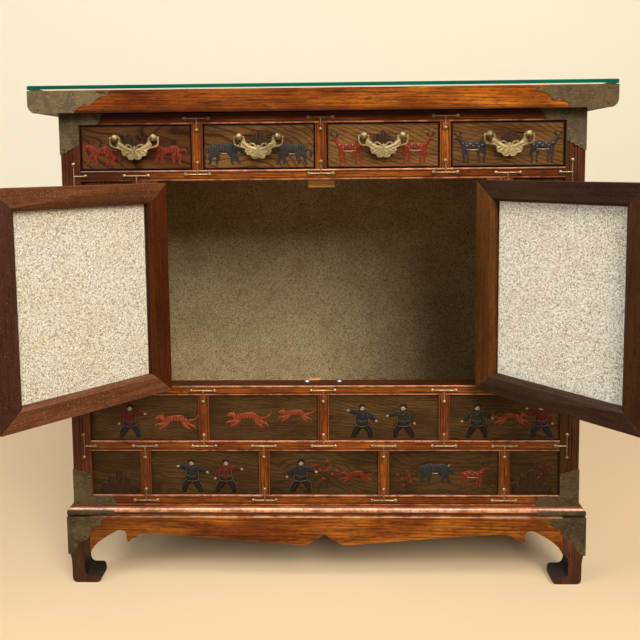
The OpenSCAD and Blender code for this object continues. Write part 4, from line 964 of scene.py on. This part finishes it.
def robedFigure(coat, legwear, left=(-13, 19.4), right=(14, 25)):
    arms = []
    for shoulder, hand in (((-3, 25), left), ((3.4, 25), right)):
        run, rise = hand[0] - shoulder[0], hand[1] - shoulder[1]
        reach = math.hypot(run, rise)
        elbow = (shoulder[0] + 0.55 * run, shoulder[1] + 0.5 * rise + 0.8)
        grip = [(hand[0] + far * run / reach, hand[1] + far * rise / reach) for far in (1.2, 2.6)]
        arms += [(coat, 1.6, (shoulder, elbow, hand), (6, 5.4, 4)), ("skin", 1.6, grip, (2.6, 2.4))]
    outlines = (((-6.4, 13), (0, 11.6), (6.6, 13)), ((-5, 18), (0, 16.8), (5.2, 18)),
                ((-2, 27.6), (0.4, 24), (2.8, 27.6)), ((-6, 14), (-9.6, 8), (-11.4, 2.4)),
                ((7, 14), (11, 8.4), (11.2, 2.4)), ((-5.6, 24.6), (-6, 19), (-6.6, 14)),
                ((5.8, 24.6), (6.2, 19), (6.8, 14)))
    parts = [(legwear, 1.5, ((-2.6, 14), (-6, 7.6), (-8.6, 2)), (9, 7.4, 5)),
             (legwear, 1.5, ((3.4, 14), (8, 8), (8.6, 2)), (9, 7.4, 5)),
             (coat, 1.8, ((0, 26), (0, 21.4), (0.2, 17.6)), (9, 11.2, 12)),
             ("skin", 1.9, ((0.4, 30), (0.8, 31)), (5, 4.8)),
             ("hat", 2.2, ((-2, 32), (0.6, 34.2), (3.4, 32.4)), (2.4, 3.6, 2.4))]
    return parts + arms + [("line", 2.4, path, (0.5, 0.6, 0.5)) for path in outlines]


def rockPile(grow):
    mounds = ((-15, 9, 9), (-8, 16, 10), (0, 21, 11), (8, 14, 10), (15, 8, 9))
    pile = [("rock", 1.6, ((x, 1), (x + 0.8, 0.6 * h), (x, h)), (w, 0.9 * w, 0.5 * w)) for x, h, w in mounds]
    edges = [("rockEdge", 2.2, ((x - w / 2, 0.4 * h), (x - w / 4, h), (x + w / 4, h), (x + w / 2, 0.4 * h)),
              (0.6,) * 4) for x, h, w in mounds]
    return [(name, lift, tuple((grow * x, grow * z) for x, z in path), tuple(grow * w for w in widths))
            for name, lift, path, widths in pile + edges]


def leafSprig(leaf):
    twigs = (((0, 0), (1, 8), (-1, 16), (1, 25)), ((0.6, 6), (5, 12), (10, 15)),
             ((-0.4, 12), (-6, 16), (-10, 21)))
    buds = ((1, 26), (11, 16), (-11, 22), (6, 12.6), (-6, 17), (0, 17), (4, 20), (-3, 8))
    return [("rock", 1.4, path, (1.6, 1.3, 1.1, 0.8)[:len(path)]) for path in twigs] + [
        (leaf, 1.7, ((x - 1.6, z - 0.8), (x, z + 0.8), (x + 1.8, z)), (1.6, 3.2, 1.4)) for x, z in buds]


# Figures of each panel: figure, x from the panel's middle, height of its feet, flip and scale
drawerFigures = (
    ((standingCat("red"), -62, 748, -1, 1.35), (standingCat("red"), 54, 748, -1, 1.35),
     (leafSprig("maroon"), 14, 780, 1, 1.0), (rockPile(0.9), -12, 784, 1, 1.0)),
    ((shaggyOx("night"), -60, 749, 1, 1.35), (shaggyOx("night"), 56, 748, -1, 1.3),
     (rockPile(0.9), 2, 784, 1, 1.0)),
    ((spottedDeer("red"), -60, 747, -1, 1.45), (spottedDeer("red"), 58, 747, 1, 1.45),
     (rockPile(1.0), 0, 782, 1, 1.0)),
    ((spottedDeer("night"), -62, 747, -1, 1.45), (spottedDeer("night"), 62, 747, 1, 1.45),
     (rockPile(0.9), 4, 784, 1, 1.0)),
)
raised, low, bent = (13, 29), (12.4, 18.6), (-9.4, 16.4)
panelFigures = (
    (-319.1, ((robedFigure("maroon", "navy", bent), -28, 262, 1, 1.75),
              (leapingCat("rust"), 50, 276, -1, 1.25))),
    (-106.4, ((leapingCat("rust"), -34, 280, -1, 1.3), (leapingCat("rust"), 52, 290, -1, 1.05))),
    (106.4, ((robedFigure("navy", "hat", (-12, 27.6), low), -38, 262, 1, 1.75),
             (robedFigure("green", "hat", bent, (14.4, 23)), 36, 262, -1, 1.75))),
    (319.1, ((robedFigure("green", "hat", (-13, 18), (13.6, 21)), -48, 262, 1, 1.75),
             (leapingCat("rust"), 16, 284, 1, 1.0),
             (robedFigure("maroon", "navy", bent, raised), 66, 262, -1, 1.75))),
    (-212.75, ((robedFigure("navy", "hat", (-13.4, 21.6), (12.4, 27)), -24, 161, -1, 1.75),
               (robedFigure("maroon", "hat", bent, (14.6, 24.4)), 36, 161, 1, 1.75))),
    (0, ((robedFigure("navy", "hat", (-12, 17.6), (13.8, 22)), -42, 161, 1, 1.75),
         (leafSprig("red"), 4, 170, 1, 1.8), (leapingCat("red"), 54, 178, -1, 1.0))),
    (212.75, ((leafSprig("red"), -66, 162, 1, 1.4), (shaggyOx("night"), -14, 178, 1, 1.3),
              (spottedDeer("red"), 54, 168, 1, 1.3))),
    (-372.3, ((rockPile(1.8), 4, 162, 1, 1.0),)),
    (372.3, ((rockPile(1.8), -4, 162, 1, 1.0), (leafSprig("maroon"), 18, 182, 1, 1.4))),
)


def figureParts(figures, middle, face):
    return [placed(stroke(path, widths, lift, paintOrder.index(name)), (middle + x, face, z), 0, flip, grow)
            for figure, x, z, flip, grow in figures for name, lift, path, widths in figure]


for i, (x, figures) in enumerate(zip(case["lowerMuntins"], drawerFigures), 1):
    drawn = figureParts(figures, x, case["drawerFace"])
    addPiece(f"drawerFigures{i}", drawn, paintFinishes, f"drawer_{i}")
panelParts = [part for x, figures in panelFigures for part in figureParts(figures, x, case["panelFace"])]
addPiece("panelFigures", panelParts, paintFinishes, "body")
print("painted figures on the drawers and panels")


# An old crack in the front apron, drawn as a dark stroke
crackPlan = {"path": ((-309, 106.8), (-284, 105.6), (-262, 103.8), (-231, 101.4)),
             "widths": (0.5, 1.5, 1.8, 0.4), "depth": 0.3}
crackDark = plainFinish("crackDark", tone(30, 12, 6), 0.8, 200)
crack = stroke(crackPlan["path"], crackPlan["widths"], crackPlan["depth"], sides=6)
addPiece("apronCrack", [placed(crack, (0, case["standFront"], 0))], [crackDark], "body")


addStage(studio)
print("stage and lamps set")
